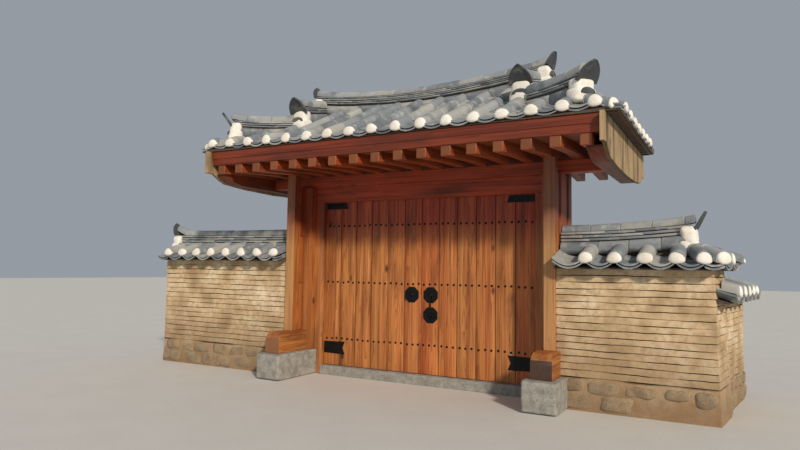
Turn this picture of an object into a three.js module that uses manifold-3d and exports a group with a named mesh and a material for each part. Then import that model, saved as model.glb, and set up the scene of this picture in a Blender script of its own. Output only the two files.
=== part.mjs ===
// The tiled timber gatehouse of a hanok, with the clay walls on both sides of it.
// Millimetres. +X is to the right as one faces the doors, +Y goes in through them, +Z is up.
// The origin is on the ground under the door sill, midway between the leaves, in their front plane.

import * as THREE from "three";
import { mergeVertices } from "three/addons/utils/BufferGeometryUtils.js";
import Module from "manifold-3d";

const wasm = await Module();
wasm.setup();

// Gap that is left where sloping or cut faces meet, and how far fused pieces run into each other.
const SEAT = 0.3;
const OVERLAP = 2;

// Granite pads and the timber blocks on them, right-hand side.
const PAD = { x: [1660, 2070], y: [-930, 755], z: [0, 350] };
const BLOCK = { x: [1745, 1990], front: -810, back: 640, z: [350, 630], nose: 120 };

// Posts, right-hand side. The blocks, the outer posts and the panels repeat behind the main post.
const POST_MIDDLE_Y = -85;
const MAIN_POST = { x: [1700, 1940], y: [-205, 35] };
const OUTER_POST = { x: [1800, 1940], y: [-480, -340] };
const PANEL = { x: [1820, 1920], z: [630, 2700] };

// Door frame.
const SILL = { front: -100, back: 90, z: [0, 125], half: 1580, backHalf: 1660 };
const JAMB = { x: [1580, 1700], y: [-80, -6], chamfer: 25 };
const LINTEL = { y: [-100, 35], z: [2485, 2700], rebateY: -6, rebateZ: 2518.3 };

// Door leaves, right-hand one. The hinge stile turns about its own axis.
const LEAF = { edge: 3, y: [0, 45], z: [133, 2510] };
const HINGE = { x: 1620, y: 30, stile: 30, pin: 18 };
const BATTEN = { x: [60, 1580], y: [40, 90], half: 45, levels: [513, 1324, 2136] };
const STRAP = { thick: 5, outer: 1573 };
const LOWER_STRAP = { z: [300, 465], flare: 8, tips: 1215, fork: 1255 };
const UPPER_STRAP = { z: [2385, 2475], tip: [1200, 1230] };
const RING_PLATE = { radius: 114, thick: 6, boss: 36, bossTip: 16, reach: 26 };
const RING = { radius: 44, bar: 7, y: -18, z: -22 };
const LATCH_LINK = { x: [-9, 9], y: [-24, -12], z: [-190, 10] };
const PLATE_X = 142;
const PLATE_Z = { left: 1181, latch: 1184, ring: 916 };

// Beam and joists. A joist is level over the beam and falls a little to its tips.
const BEAM = { half: 2440, y: [-165, -5], z: [2700, 2850] };
const JOIST = { count: 17, spacing: 307, wide: 120, deep: 120, tip: 1280, level: 500, fall: 60 };
const RAIL = { x: [2440, 2610], y: 1200, bottom: 2670 };
const DECK = { half: 2605, y: 1215, thick: 30 };
const GABLE_BOARD = { x: [2610, 2655], top: 3100 };
const GABLE_BOARD_EDGE = [[1390, 2800], [1270, 2800], [1150, 2730], [1040, 2686], [630, 2655], [0, 2640]];
const EAVE_BOARD = { half: 2605, y: [1220, 1290], step: 12, boardTop: 3000, top: 3100 };

// Roof: eaves, gable ends and the heights of its slopes.
const ROOF = { half: 2800, y: 1330, gable: 1720, eave: 3140, underside: 3100.3, cornerLift: 45 };
const FRONT_SLOPE = { rise: 560, sag: 90 };
const SIDE_SLOPE = { rise: 250, sag: 35 };

// A row of cover tiles: how far it stands over the channel tiles, and how far in from the eave it starts.
const ROW = { half: 80, high: 112, deep: 30, inset: 25 };

// Rows on the roof: counted from the middle one, and one that runs in from each corner.
const ROOF_ROWS = { pitch: 322.5, last: 8, sidePitch: 320, sideLast: 3, steps: 4 };
const CORNER_ROW = { from: [2705, -1250], to: [2380, -1098] };

// Where the roof's surface bends, on one side of its middle. Each sudden step takes half a millimetre.
const STEP = 0.5;
const GABLE_X = [ROOF.gable, ROOF.gable + STEP];
const DECK_EDGE_X = [DECK.half, DECK.half + STEP];
const DECK_EDGE_Y = [DECK.y, DECK.y + STEP];
const ROOF_X = [0, 800, ...GABLE_X, 1950, 2200, 2400, ...DECK_EDGE_X, ROOF.half];
const ROOF_Y = [0, 160, 330, JOIST.level, 680, 860, 1040, ...DECK_EDGE_Y, ROOF.y];

// Ridges: half their width, where they end and how high their crests are.
const MAIN_RIDGE = { half: 1760, wide: 140, crest: 4043, lift: 139, root: 3700 };
const FALLING_RIDGE = { x: 1600, wide: 115, from: 140.3, to: 700, crest: [3990, 3860] };
const HIP_RIDGE = { from: [1690, -650], to: [2430, -1130], wide: 110, crest: [3665, 3643, 3660] };
const ROOT_DEPTH = 50;

// The pointed tile on a ridge's end: its foot is so far below the crest, and its tip leans out.
const END_TILE = { wide: 245, thick: 24, sunk: 40, below: 152, proud: 5 };
const MAIN_END = { high: 238, lean: 20 };
const CORNER_END = { high: 206, lean: 36 };
const WALL_END = { high: 230, lean: 28 };

// Clay walls, with the tiled coping that covers them.
const WALL = { front: -450, back: 150, top: 1510 };
const RIGHT_WALL = { end: 3535, foot: 3590, splay: 8, ridgeEnd: 3370 };
const LEFT_WALL = { end: 4400, ridgeEnd: 4480 };
const RETURN_WALL = { back: 1400, top: 1160, ledgeFront: -400, ledgeRise: 110, ridgeGap: 10 };
const COPING = { bed: 60, overhang: 200, eave: 80, slope: 110, shoulder: 140 };
const RIGHT_COPING = { bed: 60, reach: 110, ridge: 310, lift: 75 };
const LEFT_COPING = { bed: 100, reach: 0, ridge: 290, lift: 30 };
const COPING_RIDGE_HALF = 105;

// Rows on the copings: the first, how far apart they are and how many, and the fan at the right-hand end.
const RIGHT_ROWS = { first: 2301, pitch: 304, count: 4 };
const LEFT_ROWS = { first: 2043, pitch: 305, count: 8 };
const RETURN_ROWS = { first: 510, pitch: 305, count: 3 };
const FAN_ROWS = [
  { from: [3465, -625], to: [3365, -330] },
  { from: [3595, -600], to: [3400, -250] },
  { from: [3660, -150], to: [3430, -150] },
  { from: [3700, 290], to: [3420, -50] },
];

// Half of a cross-section: across as a share of its half width, up as a share of its height.
const RIDGE_HALF = [[1, 0], [0.96, 0.42], [0.8, 0.44], [0.78, 0.66], [0.54, 0.69], [0.42, 0.9], [0, 1]];
const ROW_HALF = [[1, 0], [1, 0.45], [0.71, 0.84], [0, 1]];

const LOOK = {
  granite: { color: 0xa7a49c, roughness: 0.9 },
  pine: { color: 0xb0703a, roughness: 0.65 },
  doorPine: { color: 0xb87a42, roughness: 0.6 },
  bleachedPine: { color: 0xb59a78, roughness: 0.8 },
  iron: { color: 0x26262a, roughness: 0.5, metalness: 0.6 },
  tile: { color: 0x8b8d8c, roughness: 0.85 },
  plaster: { color: 0xe4e0d6, roughness: 0.9 },
  clay: { color: 0xa5825c, roughness: 0.95 },
};

/** A box between two values on each axis. */
function block([x0, x1], [y0, y1], [z0, z1]) {
  const box = new THREE.BoxGeometry(x1 - x0, y1 - y0, z1 - z0);
  return box.translate((x0 + x1) / 2, (y0 + y1) / 2, (z0 + z1) / 2);
}

/** A straight solid of an outline, drawn in its own plane, before it is turned. */
function extruded(points, depth, steps) {
  const shape = new THREE.Shape(points.map(([a, b]) => new THREE.Vector2(a, b)));
  return new THREE.ExtrudeGeometry(shape, { depth, steps, bevelEnabled: false, curveSegments: 6 });
}

/** An outline in Y and Z, carried from x0 to x1. */
function alongX(points, [x0, x1], steps = 1) {
  const turn = new THREE.Matrix4().set(0, 0, 1, x0, 1, 0, 0, 0, 0, 1, 0, 0, 0, 0, 0, 1);
  return extruded(points, x1 - x0, steps).applyMatrix4(turn);
}

/** An outline in X and Z, carried from y0 to y1. */
function alongY(points, [y0, y1], steps = 1) {
  const turn = new THREE.Matrix4().set(1, 0, 0, 0, 0, 0, -1, y1, 0, 1, 0, 0, 0, 0, 0, 1);
  return extruded(points, y1 - y0, steps).applyMatrix4(turn);
}

/** An outline in X and Y, carried from z0 to z1. */
function alongZ(points, [z0, z1], steps = 1) {
  return extruded(points, z1 - z0, steps).translate(0, 0, z0);
}

/** An upright cylinder. */
function upright(radius, x, y, [z0, z1], sides = 16) {
  const rod = new THREE.CylinderGeometry(radius, radius, z1 - z0, sides).rotateX(Math.PI / 2);
  return rod.translate(x, y, (z0 + z1) / 2);
}

/** Moves every vertex of a geometry to where the function says. */
function reshape(geometry, place) {
  const position = geometry.attributes.position;
  for (let i = 0; i < position.count; i++) {
    position.setXYZ(i, ...place(position.getX(i), position.getY(i), position.getZ(i)));
  }
  return geometry;
}

/** A geometry as a solid that can be joined and cut. */
function solid(geometry) {
  const bare = geometry.clone();
  bare.deleteAttribute("normal");
  bare.deleteAttribute("uv");
  const merged = mergeVertices(bare, 1e-3);
  const vertProperties = merged.attributes.position.array;
  const triVerts = new Uint32Array(merged.index.array);
  return new wasm.Manifold(new wasm.Mesh({ numProp: 3, vertProperties, triVerts }));
}

/** The geometry of a solid. */
function surface(made) {
  const { vertProperties, triVerts } = made.getMesh();
  const geometry = new THREE.BufferGeometry();
  geometry.setAttribute("position", new THREE.BufferAttribute(vertProperties, 3));
  geometry.setIndex(new THREE.BufferAttribute(triVerts, 1));
  const flat = geometry.toNonIndexed();
  flat.computeVertexNormals();
  return flat;
}

/** One geometry of several that run into each other. */
function fuse(...geometries) {
  return surface(geometries.map(solid).reduce((whole, next) => whole.add(next)));
}

/** A geometry less the space that others fill. */
function cut(geometry, ...tools) {
  return surface(tools.map(solid).reduce((left, tool) => left.subtract(tool), solid(geometry)));
}

/** Turns the diagonals of a grid's cells in two quadrants, so that every quadrant mirrors its neighbour. */
function mirrorDiagonals({ index, attributes: { position } }) {
  for (let i = 0; i < index.count; i += 6) {
    const [a, b, d, , c] = index.array.slice(i, i + 6);
    const x = position.getX(a) + position.getX(c);
    const y = position.getY(a) + position.getY(c);
    if (x * y < 0) index.array.set([a, b, c, a, c, d], i);
  }
}

/** A closed body between two height functions, over a grid of stations along X and Y. */
function heightBody(xs, ys, top, bottom) {
  const grid = new THREE.BoxGeometry(2, 2, 2, xs.length - 1, ys.length - 1, 1);
  mirrorDiagonals(grid);
  return reshape(grid, (u, v, side) => {
    const x = xs[Math.round(((u + 1) / 2) * (xs.length - 1))];
    const y = ys[Math.round(((v + 1) / 2) * (ys.length - 1))];
    return [x, y, side > 0 ? top(x, y) : bottom(x, y)];
  });
}

/** Both sides of a list of stations, from the lowest to the highest. */
const bothSides = (stations) => [...stations.map((s) => -s).reverse(), ...stations.filter((s) => s)];

/** A named mesh. */
function piece(name, geometry, look) {
  const mesh = new THREE.Mesh(geometry, new THREE.MeshStandardMaterial(look));
  mesh.name = name;
  return mesh;
}

/** A right-hand piece and its mirror image on the left. */
function pair(name, geometry, look) {
  const right = piece(`right_${name}`, geometry, look);
  const left = piece(`left_${name}`, geometry, look);
  left.scale.x = -1;
  return [right, left];
}

/** A front right piece and its mirror images at the other three corners, about a middle line. */
function corners(name, geometry, look, middleY) {
  const pieces = [];
  for (const [front, signY] of [["front", 1], ["rear", -1]]) {
    for (const [side, signX] of [["right", 1], ["left", -1]]) {
      const mesh = piece(`${front}_${side}_${name}`, geometry, look);
      mesh.scale.set(signX, signY, 1);
      mesh.position.y = signY < 0 ? 2 * middleY : 0;
      pieces.push(mesh);
    }
  }
  return pieces;
}

/** The timber block under the outer post, with its nose rounded at the top. */
function sillBlock() {
  const [z0, z1] = BLOCK.z;
  const nose = [0, 1, 2, 3, 4].map((i) => {
    const angle = (i / 4) * (Math.PI / 2);
    const inward = BLOCK.nose * (1 - Math.cos(angle));
    return [BLOCK.front + inward, z1 - BLOCK.nose + BLOCK.nose * Math.sin(angle)];
  });
  return alongX([[BLOCK.front, z0], ...nose, [MAIN_POST.y[0], z1], [MAIN_POST.y[0], z0]], BLOCK.x);
}

/** Pads, blocks, posts and the panels between them. */
function sides() {
  const blockTop = BLOCK.z[1];
  const panelY = [OUTER_POST.y[1], MAIN_POST.y[0]];
  return [
    ...pair("pad", block(PAD.x, PAD.y, PAD.z), LOOK.granite),
    ...corners("block", sillBlock(), LOOK.pine, POST_MIDDLE_Y),
    ...pair("main_post", block(MAIN_POST.x, MAIN_POST.y, [PAD.z[1], BEAM.z[0]]), LOOK.pine),
    ...corners("post", block(OUTER_POST.x, OUTER_POST.y, [blockTop, BEAM.z[1]]), LOOK.pine, POST_MIDDLE_Y),
    ...corners("panel", block(PANEL.x, panelY, PANEL.z), LOOK.pine, POST_MIDDLE_Y),
  ];
}

/** The door jamb, which is notched round the pad and chamfered towards the doorway. */
function jamb() {
  const [x0, x1] = JAMB.x;
  const [y0, y1] = JAMB.y;
  const [padTop, top] = [PAD.z[1], LINTEL.z[0]];
  const notched = [[x0, 0], [PAD.x[0], 0], [PAD.x[0], padTop], [x1, padTop], [x1, top], [x0, top]];
  const [outX, outY] = [x0 - OVERLAP, y0 - OVERLAP];
  const corner = [[outX, outY], [x0 + JAMB.chamfer, outY], [outX, y0 + JAMB.chamfer]];
  return cut(alongY(notched, [y0, y1]), alongZ(corner, [-OVERLAP, top + OVERLAP]));
}

/** The sill, which is wider behind the jambs, under the pins of the leaves. */
function doorSill() {
  const { front, back, half, backHalf, z } = SILL;
  const step = JAMB.y[1];
  const outline = [[half, front], [half, step], [backHalf, step], [backHalf, back]];
  return alongZ([...outline, ...outline.map(([x, y]) => [-x, y]).reverse()], z);
}

/** The lintel, rebated at the back for the tops of the leaves. */
function lintel() {
  const { y: [y0, y1], z: [z0, z1], rebateY, rebateZ } = LINTEL;
  const outline = [[y0, z0], [rebateY, z0], [rebateY, rebateZ], [y1, rebateZ], [y1, z1], [y0, z1]];
  return alongX(outline, [-MAIN_POST.x[0], MAIN_POST.x[0]]);
}

/** A door leaf: boards as one slab, battens behind them, and the hinge stile with a pin at each end. */
function leaf() {
  const slab = block([LEAF.edge, HINGE.x], LEAF.y, LEAF.z);
  const battens = BATTEN.levels.map((z) => block(BATTEN.x, BATTEN.y, [z - BATTEN.half, z + BATTEN.half]));
  const stile = upright(HINGE.stile, HINGE.x, HINGE.y, LEAF.z);
  const pinEnds = [SILL.z[1] + SEAT, LINTEL.rebateZ - SEAT];
  return fuse(slab, ...battens, stile, upright(HINGE.pin, HINGE.x, HINGE.y, pinEnds));
}

/** The lower strap, with a forked tip. */
function lowerStrap() {
  const { z: [z0, z1], flare, tips, fork } = LOWER_STRAP;
  const end = [[tips, z1 + flare], [fork, (z0 + z1) / 2], [tips, z0 - flare]];
  return alongY([[STRAP.outer, z0], [STRAP.outer, z1], ...end], [-STRAP.thick, 0]);
}

/** The upper strap, with a slanting tip. */
function upperStrap() {
  const { z: [z0, z1], tip: [lowTip, highTip] } = UPPER_STRAP;
  return alongY([[STRAP.outer, z0], [STRAP.outer, z1], [highTip, z1], [lowTip, z0]], [-STRAP.thick, 0]);
}

/** An eight-sided iron plate with a boss in the middle, on the front face of a leaf. */
function ringPlate() {
  const { radius, thick, boss, bossTip, reach } = RING_PLATE;
  const plate = new THREE.CylinderGeometry(radius, radius, thick, 8).rotateY(Math.PI / 8);
  const dome = new THREE.CylinderGeometry(boss, bossTip, reach, 12).translate(0, -reach / 2, 0);
  return fuse(plate.translate(0, -thick / 2, 0), dome);
}

/** The plate with a ring hanging on its boss. */
function ringPlateWithRing() {
  const ring = new THREE.TorusGeometry(RING.radius, RING.bar, 8, 20).rotateX(Math.PI / 2);
  return fuse(ringPlate(), ring.translate(0, RING.y, RING.z));
}

/** The plate with the link of the latch hanging on its boss. */
function latchPlate() {
  return fuse(ringPlate(), block(LATCH_LINK.x, LATCH_LINK.y, LATCH_LINK.z));
}

/** Hinged leaves with what is fixed on them. */
function doors() {
  return [
    ...pair("leaf", leaf(), LOOK.doorPine),
    ...pair("lower_strap", lowerStrap(), LOOK.iron),
    ...pair("upper_strap", upperStrap(), LOOK.iron),
    piece("left_plate", ringPlate().translate(-PLATE_X, 0, PLATE_Z.left), LOOK.iron),
    piece("right_latch_plate", latchPlate().translate(PLATE_X, 0, PLATE_Z.latch), LOOK.iron),
    piece("right_ring_plate", ringPlateWithRing().translate(PLATE_X, 0, PLATE_Z.ring), LOOK.iron),
  ];
}

/** The height of the joists' undersides. */
function joistUnderside(y) {
  return BEAM.z[1] - JOIST.fall * Math.max(0, (Math.abs(y) - JOIST.level) / (JOIST.tip - JOIST.level));
}

/** An outline in Y and Z between two lines that follow the joists, each so far above their undersides. */
function joistBand(reach, low, high) {
  const stations = [-reach, -JOIST.level, JOIST.level, reach];
  const lower = stations.map((y) => [y, joistUnderside(y) + low]);
  return [...lower, ...stations.map((y) => [y, joistUnderside(y) + high]).reverse()];
}

/** The joists, with the boards that lie on them. */
function joists() {
  const boards = joistBand(DECK.y, JOIST.deep - OVERLAP, JOIST.deep + DECK.thick);
  const comb = [alongX(boards, [-DECK.half, DECK.half])];
  for (let i = 0; i < JOIST.count; i++) {
    const x = (i - (JOIST.count - 1) / 2) * JOIST.spacing;
    comb.push(alongX(joistBand(JOIST.tip, 0, JOIST.deep), [x - JOIST.wide / 2, x + JOIST.wide / 2]));
  }
  return fuse(...comb);
}

/** The rail under the ends of the joists, inside the gable board. */
function rail() {
  const top = [RAIL.y, JOIST.level, -JOIST.level, -RAIL.y].map((y) => [y, joistUnderside(y) - SEAT]);
  return alongX([[-RAIL.y, RAIL.bottom], [RAIL.y, RAIL.bottom], ...top], RAIL.x);
}

/** The shaped board that closes the roof's side under the tiles. */
function gableBoard() {
  const { x, top } = GABLE_BOARD;
  const front = GABLE_BOARD_EDGE.map(([y, z]) => [-y, z]);
  const rear = GABLE_BOARD_EDGE.slice(0, -1).reverse();
  return alongX([...front, ...rear, [GABLE_BOARD_EDGE[0][0], top], [-GABLE_BOARD_EDGE[0][0], top]], x);
}

/** The eave board on the joist tips, with the strip on it that carries the tiles. */
function eaveBoard() {
  const { half, y: [y0, y1], step, boardTop, top } = EAVE_BOARD;
  const foot = [y0, y1].map((y) => [-y, joistUnderside(y) + JOIST.deep + SEAT]);
  const upper = [[-y1, boardTop], [-y1 - step, boardTop], [-y1 - step, top], [-y0, top]];
  return alongX([...foot, ...upper], [-half, half]);
}

/** The height of the tiles on the front and rear slopes, and on the side slopes below the gables. */
function tileHeight(x, y) {
  const along = (ROOF.y - Math.abs(y)) / ROOF.y;
  const main = ROOF.eave + FRONT_SLOPE.rise * along + FRONT_SLOPE.sag * along ** 2;
  const lift = ROOF.cornerLift * (x / ROOF.half) ** 4 * (y / ROOF.y) ** 2;
  if (Math.abs(x) <= ROOF.gable) return main + lift;
  const across = (ROOF.half - Math.abs(x)) / (ROOF.half - ROOF.gable);
  return Math.min(main, ROOF.eave + SIDE_SLOPE.rise * across + SIDE_SLOPE.sag * across ** 2) + lift;
}

/** The roof's surface with the clay under it, hipped at the ends below two small gables. */
function roofBed() {
  const onDeck = (x, y) => Math.abs(x) <= DECK.half && Math.abs(y) <= DECK.y;
  const bottom = (x, y) => {
    if (!onDeck(x, y)) return ROOF.underside;
    return joistUnderside(y) + JOIST.deep + DECK.thick + SEAT;
  };
  return heightBody(bothSides(ROOF_X), bothSides(ROOF_Y), tileHeight, bottom);
}

/** A bar of a mirrored section from x0 to x1, half as wide as said, between two height functions. */
function bar(half, [x0, x1], wide, root, crest, steps) {
  const right = half.map(([across, up]) => [across * wide, up]);
  const left = right.slice(0, -1).map(([across, up]) => [-across, up]).reverse();
  const straight = alongX([...right, ...left], [x0, x1], steps);
  return reshape(straight, (x, y, up) => [x, y, root(x) + up * (crest(x) - root(x))]);
}

/** A row of cover tiles between two places in plan, on the surface that a function gives. */
function tileRow([x0, y0], [x1, y1], height, steps = 1) {
  const [dx, dy] = [x1 - x0, y1 - y0];
  const length = Math.hypot(dx, dy);
  const level = (along) => height(x0 + (along / length) * dx, y0 + (along / length) * dy);
  const root = (along) => level(along) - ROW.deep;
  const crest = (along) => level(along) + ROW.high;
  const row = bar(ROW_HALF, [0, length], ROW.half, root, crest, steps);
  return row.rotateZ(Math.atan2(dy, dx)).translate(x0, y0, 0);
}

/** How far up a slope, as a share of it, its curve has risen by a height. */
function shareAt(height, { rise, sag }) {
  return (Math.sqrt(rise ** 2 + 4 * sag * height) - rise) / (2 * sag);
}

/** The rows on the front and rear slopes, up to the middle or to where the side slopes begin. */
function longRows() {
  const { pitch, last, steps } = ROOF_ROWS;
  const rows = [];
  for (let i = -last; i <= last; i++) {
    const x = i * pitch;
    const across = Math.min(1, (ROOF.half - Math.abs(x)) / (ROOF.half - ROOF.gable));
    const hip = shareAt(SIDE_SLOPE.rise * across + SIDE_SLOPE.sag * across ** 2, FRONT_SLOPE);
    const end = across < 1 ? ROOF.y * (1 - hip) : 0;
    for (const side of [-1, 1]) {
      rows.push(tileRow([x, side * (ROOF.y - ROW.inset)], [x, side * end], tileHeight, steps));
    }
  }
  return rows;
}

/** The rows on the side slopes, up to the gables or to where the long slopes begin. */
function sideRows() {
  const { sidePitch, sideLast } = ROOF_ROWS;
  const rows = [];
  for (let i = -sideLast; i <= sideLast; i++) {
    const y = i * sidePitch;
    const along = (ROOF.y - Math.abs(y)) / ROOF.y;
    const hip = shareAt(FRONT_SLOPE.rise * along + FRONT_SLOPE.sag * along ** 2, SIDE_SLOPE);
    const end = hip < 1 ? ROOF.half - hip * (ROOF.half - ROOF.gable) : GABLE_X[1] - OVERLAP;
    for (const side of [-1, 1]) {
      const under = (x, v) => tileHeight(side * Math.max(Math.abs(x), GABLE_X[1]), v);
      rows.push(tileRow([side * (ROOF.half - ROW.inset), y], [side * end, y], under));
    }
  }
  return rows;
}

/** The rows that run in from the four corners. */
function cornerRows() {
  const { from, to } = CORNER_ROW;
  const signs = [[1, 1], [1, -1], [-1, 1], [-1, -1]];
  return signs.map(([u, v]) => tileRow([u * from[0], v * from[1]], [u * to[0], v * to[1]], tileHeight));
}

/** The room in plan that the ridges take, in which no row lies. */
function ridgeRoom() {
  const z = [BEAM.z[1], MAIN_RIDGE.crest];
  const main = MAIN_RIDGE.wide + SEAT;
  const falling = FALLING_RIDGE.wide + SEAT;
  const [inner, outer] = [FALLING_RIDGE.x - falling, FALLING_RIDGE.x + falling];
  const room = [block([-ROOF.gable, ROOF.gable], [-main, main], z)];
  for (const [u, v] of [[1, 1], [1, -1], [-1, 1], [-1, -1]]) {
    const { from, to, wide } = HIP_RIDGE;
    const [dx, dy] = [u * (to[0] - from[0]), v * (to[1] - from[1])];
    const half = wide + SEAT;
    const hip = block([0, Math.hypot(dx, dy) + SEAT], [-half, half], z);
    hip.rotateZ(Math.atan2(dy, dx)).translate(u * from[0], v * from[1], 0);
    const alongGable = block([inner, outer], [0, FALLING_RIDGE.to + SEAT], z);
    if (u < 0) alongGable.translate(-inner - outer, 0, 0);
    if (v > 0) alongGable.translate(0, -FALLING_RIDGE.to - SEAT, 0);
    const uncovered = block([0, outer - SEAT], [0, ROOF.y], z);
    if (u < 0) uncovered.translate(SEAT - outer, 0, 0);
    if (v > 0) uncovered.translate(0, -ROOF.y, 0);
    room.push(cut(hip, uncovered), alongGable);
  }
  return room;
}

/** The tiled roof: its bed, and the rows of cover tiles on it between the ridges. */
function tiledRoof(bed) {
  const rows = fuse(...longRows(), ...sideRows(), ...cornerRows());
  return fuse(bed, cut(rows, ...ridgeRoom()));
}

/** The pointed tile on a ridge that ends at x with the given crest, leaning out towards +X. */
function endTile(x, crest, { high, lean }) {
  const { wide, thick, sunk, below, proud } = END_TILE;
  const half = [[0.5, 0], [0.49, 0.3], [0.4, 0.6], [0.22, 0.86]];
  const arch = [...half, [0, 1], ...half.map(([across, up]) => [-across, up]).reverse()];
  const outline = arch.map(([across, up]) => [across * wide, up * (high + sunk) - sunk]);
  const plate = alongX(outline, [-thick, 0]).rotateY(THREE.MathUtils.degToRad(lean));
  return plate.translate(x + proud, 0, crest - below);
}

/** The main ridge, which rises towards both ends. */
function mainRidge(roofAbove) {
  const { half, wide, crest, lift, root } = MAIN_RIDGE;
  const curve = (x) => crest + lift * (x / half) ** 2;
  const ridge = bar(RIDGE_HALF, [-half, half], wide, () => root, curve, 14);
  const tile = endTile(half, curve(half), MAIN_END);
  return cut(fuse(ridge, tile, tile.clone().rotateZ(Math.PI)), roofAbove);
}

/** The ridge that falls along a gable's edge, at the front right. */
function fallingRidge(roofAbove) {
  const { x, wide, from, to, crest: [high, low] } = FALLING_RIDGE;
  const crest = (along) => high + ((low - high) * (along - from)) / (to - from);
  const root = (along) => tileHeight(x, along) - ROOT_DEPTH;
  const ridge = fuse(bar(RIDGE_HALF, [from, to], wide, root, crest, 6), endTile(to, low, CORNER_END));
  return cut(ridge.rotateZ(-Math.PI / 2).translate(x, 0, 0), roofAbove);
}

/** The ridge that runs out to a corner of the eaves, at the front right. */
function hipRidge(roofAbove) {
  const { from, to, wide, crest: [high, middle, low] } = HIP_RIDGE;
  const [dx, dy] = [to[0] - from[0], to[1] - from[1]];
  const length = Math.hypot(dx, dy);
  const crest = (along) => {
    const t = along / length;
    return high * (1 - t) + low * t - (high + low - 2 * middle) * 2 * t * (1 - t);
  };
  const root = (along) => {
    const t = along / length;
    return tileHeight(from[0] + t * dx, from[1] + t * dy) - ROOT_DEPTH;
  };
  const ridge = fuse(bar(RIDGE_HALF, [0, length], wide, root, crest, 7), endTile(length, low, CORNER_END));
  ridge.rotateZ(Math.atan2(dy, dx)).translate(from[0], from[1], 0);
  const inner = FALLING_RIDGE.x + FALLING_RIDGE.wide + SEAT;
  return cut(ridge, roofAbove, block([0, inner], [-ROOF.y, 0], [BEAM.z[1], MAIN_RIDGE.crest]));
}

/** Everything above the posts. */
function roof() {
  const bed = roofBed();
  const roofAbove = bed.clone().translate(0, 0, SEAT);
  const rear = piece("rear_eave_board", eaveBoard(), LOOK.bleachedPine);
  rear.scale.y = -1;
  return [
    piece("cross_beam", block([-BEAM.half, BEAM.half], BEAM.y, BEAM.z), LOOK.pine),
    piece("joists_and_deck", joists(), LOOK.pine),
    ...pair("rail", rail(), LOOK.pine),
    ...pair("gable_board", gableBoard(), LOOK.bleachedPine),
    piece("front_eave_board", eaveBoard(), LOOK.bleachedPine),
    rear,
    piece("tiled_roof", tiledRoof(bed), LOOK.tile),
    piece("main_ridge", mainRidge(roofAbove), LOOK.tile),
    ...corners("falling_ridge", fallingRidge(roofAbove), LOOK.tile, 0),
    ...corners("hip_ridge", hipRidge(roofAbove), LOOK.tile, 0),
  ];
}

/** A four-sided slope between a lower and an upper rectangle. */
function slope([x0, x1], [y0, y1], [z0, z1], [u0, u1], [v0, v1]) {
  return reshape(block([x0, x1], [y0, y1], [z0, z1]), (x, y, z) => {
    if (z < (z0 + z1) / 2) return [x, y, z];
    return [x === x0 ? u0 : u1, y === y0 ? v0 : v1, z];
  });
}

/** Rows of cover tiles down both slopes of a coping, where a function places a row's ends in plan. */
function copingRows({ first, pitch, count }, plan, eaveTop) {
  const reach = (WALL.back - WALL.front) / 2 + COPING.overhang;
  const rise = COPING.slope / (reach - COPING.shoulder);
  const rows = [];
  for (let i = 0; i < count; i++) {
    const place = first + i * pitch;
    for (const side of [-1, 1]) {
      const ends = [side * (reach - ROW.inset), side * COPING.shoulder];
      const row = tileRow([ends[0], 0], [ends[1], 0], (out) => eaveTop + rise * (reach - Math.abs(out)));
      rows.push(plan(row, place));
    }
  }
  return rows;
}

/** The tiled coping of a wall along X, with its ridge, hipped at the far end if that reaches out. */
function coping([x0, x1], ridgeEnd, { bed, reach, ridge, lift }) {
  const { front, back, top } = WALL;
  const middle = (front + back) / 2;
  const bedTop = top + SEAT + bed;
  const eaveTop = bedTop + COPING.eave;
  const shoulderTop = eaveTop + COPING.slope;
  const eaves = [front - COPING.overhang, back + COPING.overhang];
  const shoulders = [middle - COPING.shoulder, middle + COPING.shoulder];
  const far = x1 + reach;
  const crest = (x) => shoulderTop + ridge + lift * ((x - x0) / (ridgeEnd - x0)) ** 2;
  const root = () => shoulderTop - ROOT_DEPTH;
  const crown = bar(RIDGE_HALF, [x0, ridgeEnd], COPING_RIDGE_HALF, root, crest, 6);
  const tile = endTile(ridgeEnd, crest(ridgeEnd), WALL_END);
  return fuse(
    block([x0, x1], [front, back], [top + SEAT, bedTop + OVERLAP]),
    block([x0, far], eaves, [bedTop, eaveTop]),
    slope([x0, far], eaves, [eaveTop - OVERLAP, shoulderTop], [x0, Math.min(ridgeEnd, far)], shoulders),
    fuse(crown, tile).translate(0, middle, 0),
  );
}

/** A coping along X with its rows of cover tiles, and with a fan of rows at its hipped end if it has one. */
function tiledCoping(bare, rows, bed, fan) {
  const middle = (WALL.front + WALL.back) / 2;
  const eaveTop = WALL.top + SEAT + bed + COPING.eave;
  const plan = (row, x) => row.rotateZ(Math.PI / 2).translate(x, middle, 0);
  const fanned = fan.map(({ from, to }) => {
    const length = Math.hypot(to[0] - from[0], to[1] - from[1]);
    const height = (x, y) => eaveTop + (COPING.slope * Math.hypot(x - from[0], y - from[1])) / length;
    return tileRow(from, to, height);
  });
  return fuse(bare, ...copingRows(rows, plan, eaveTop), ...fanned);
}

/** The outline of a wall's front face, which fits round the pad and the blocks, down to its far foot. */
function wallFace(foot, end) {
  const post = MAIN_POST.x[1];
  const [padOut, padTop] = [PAD.x[1], PAD.z[1]];
  const [blockOut, blockTop] = [BLOCK.x[1], BLOCK.z[1]];
  const notched = [[post, blockTop], [blockOut, blockTop], [blockOut, padTop], [padOut, padTop], [padOut, 0]];
  return [[post, WALL.top], ...notched, [foot, 0], [end, WALL.top]];
}

/** Moves what lies beyond a start to the right, further towards the back. */
function splayed(geometry, start) {
  const spread = Math.tan(THREE.MathUtils.degToRad(RIGHT_WALL.splay));
  return reshape(geometry, (x, y, z) => [x > start ? x + (y - WALL.front) * spread : x, y, z]);
}

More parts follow.
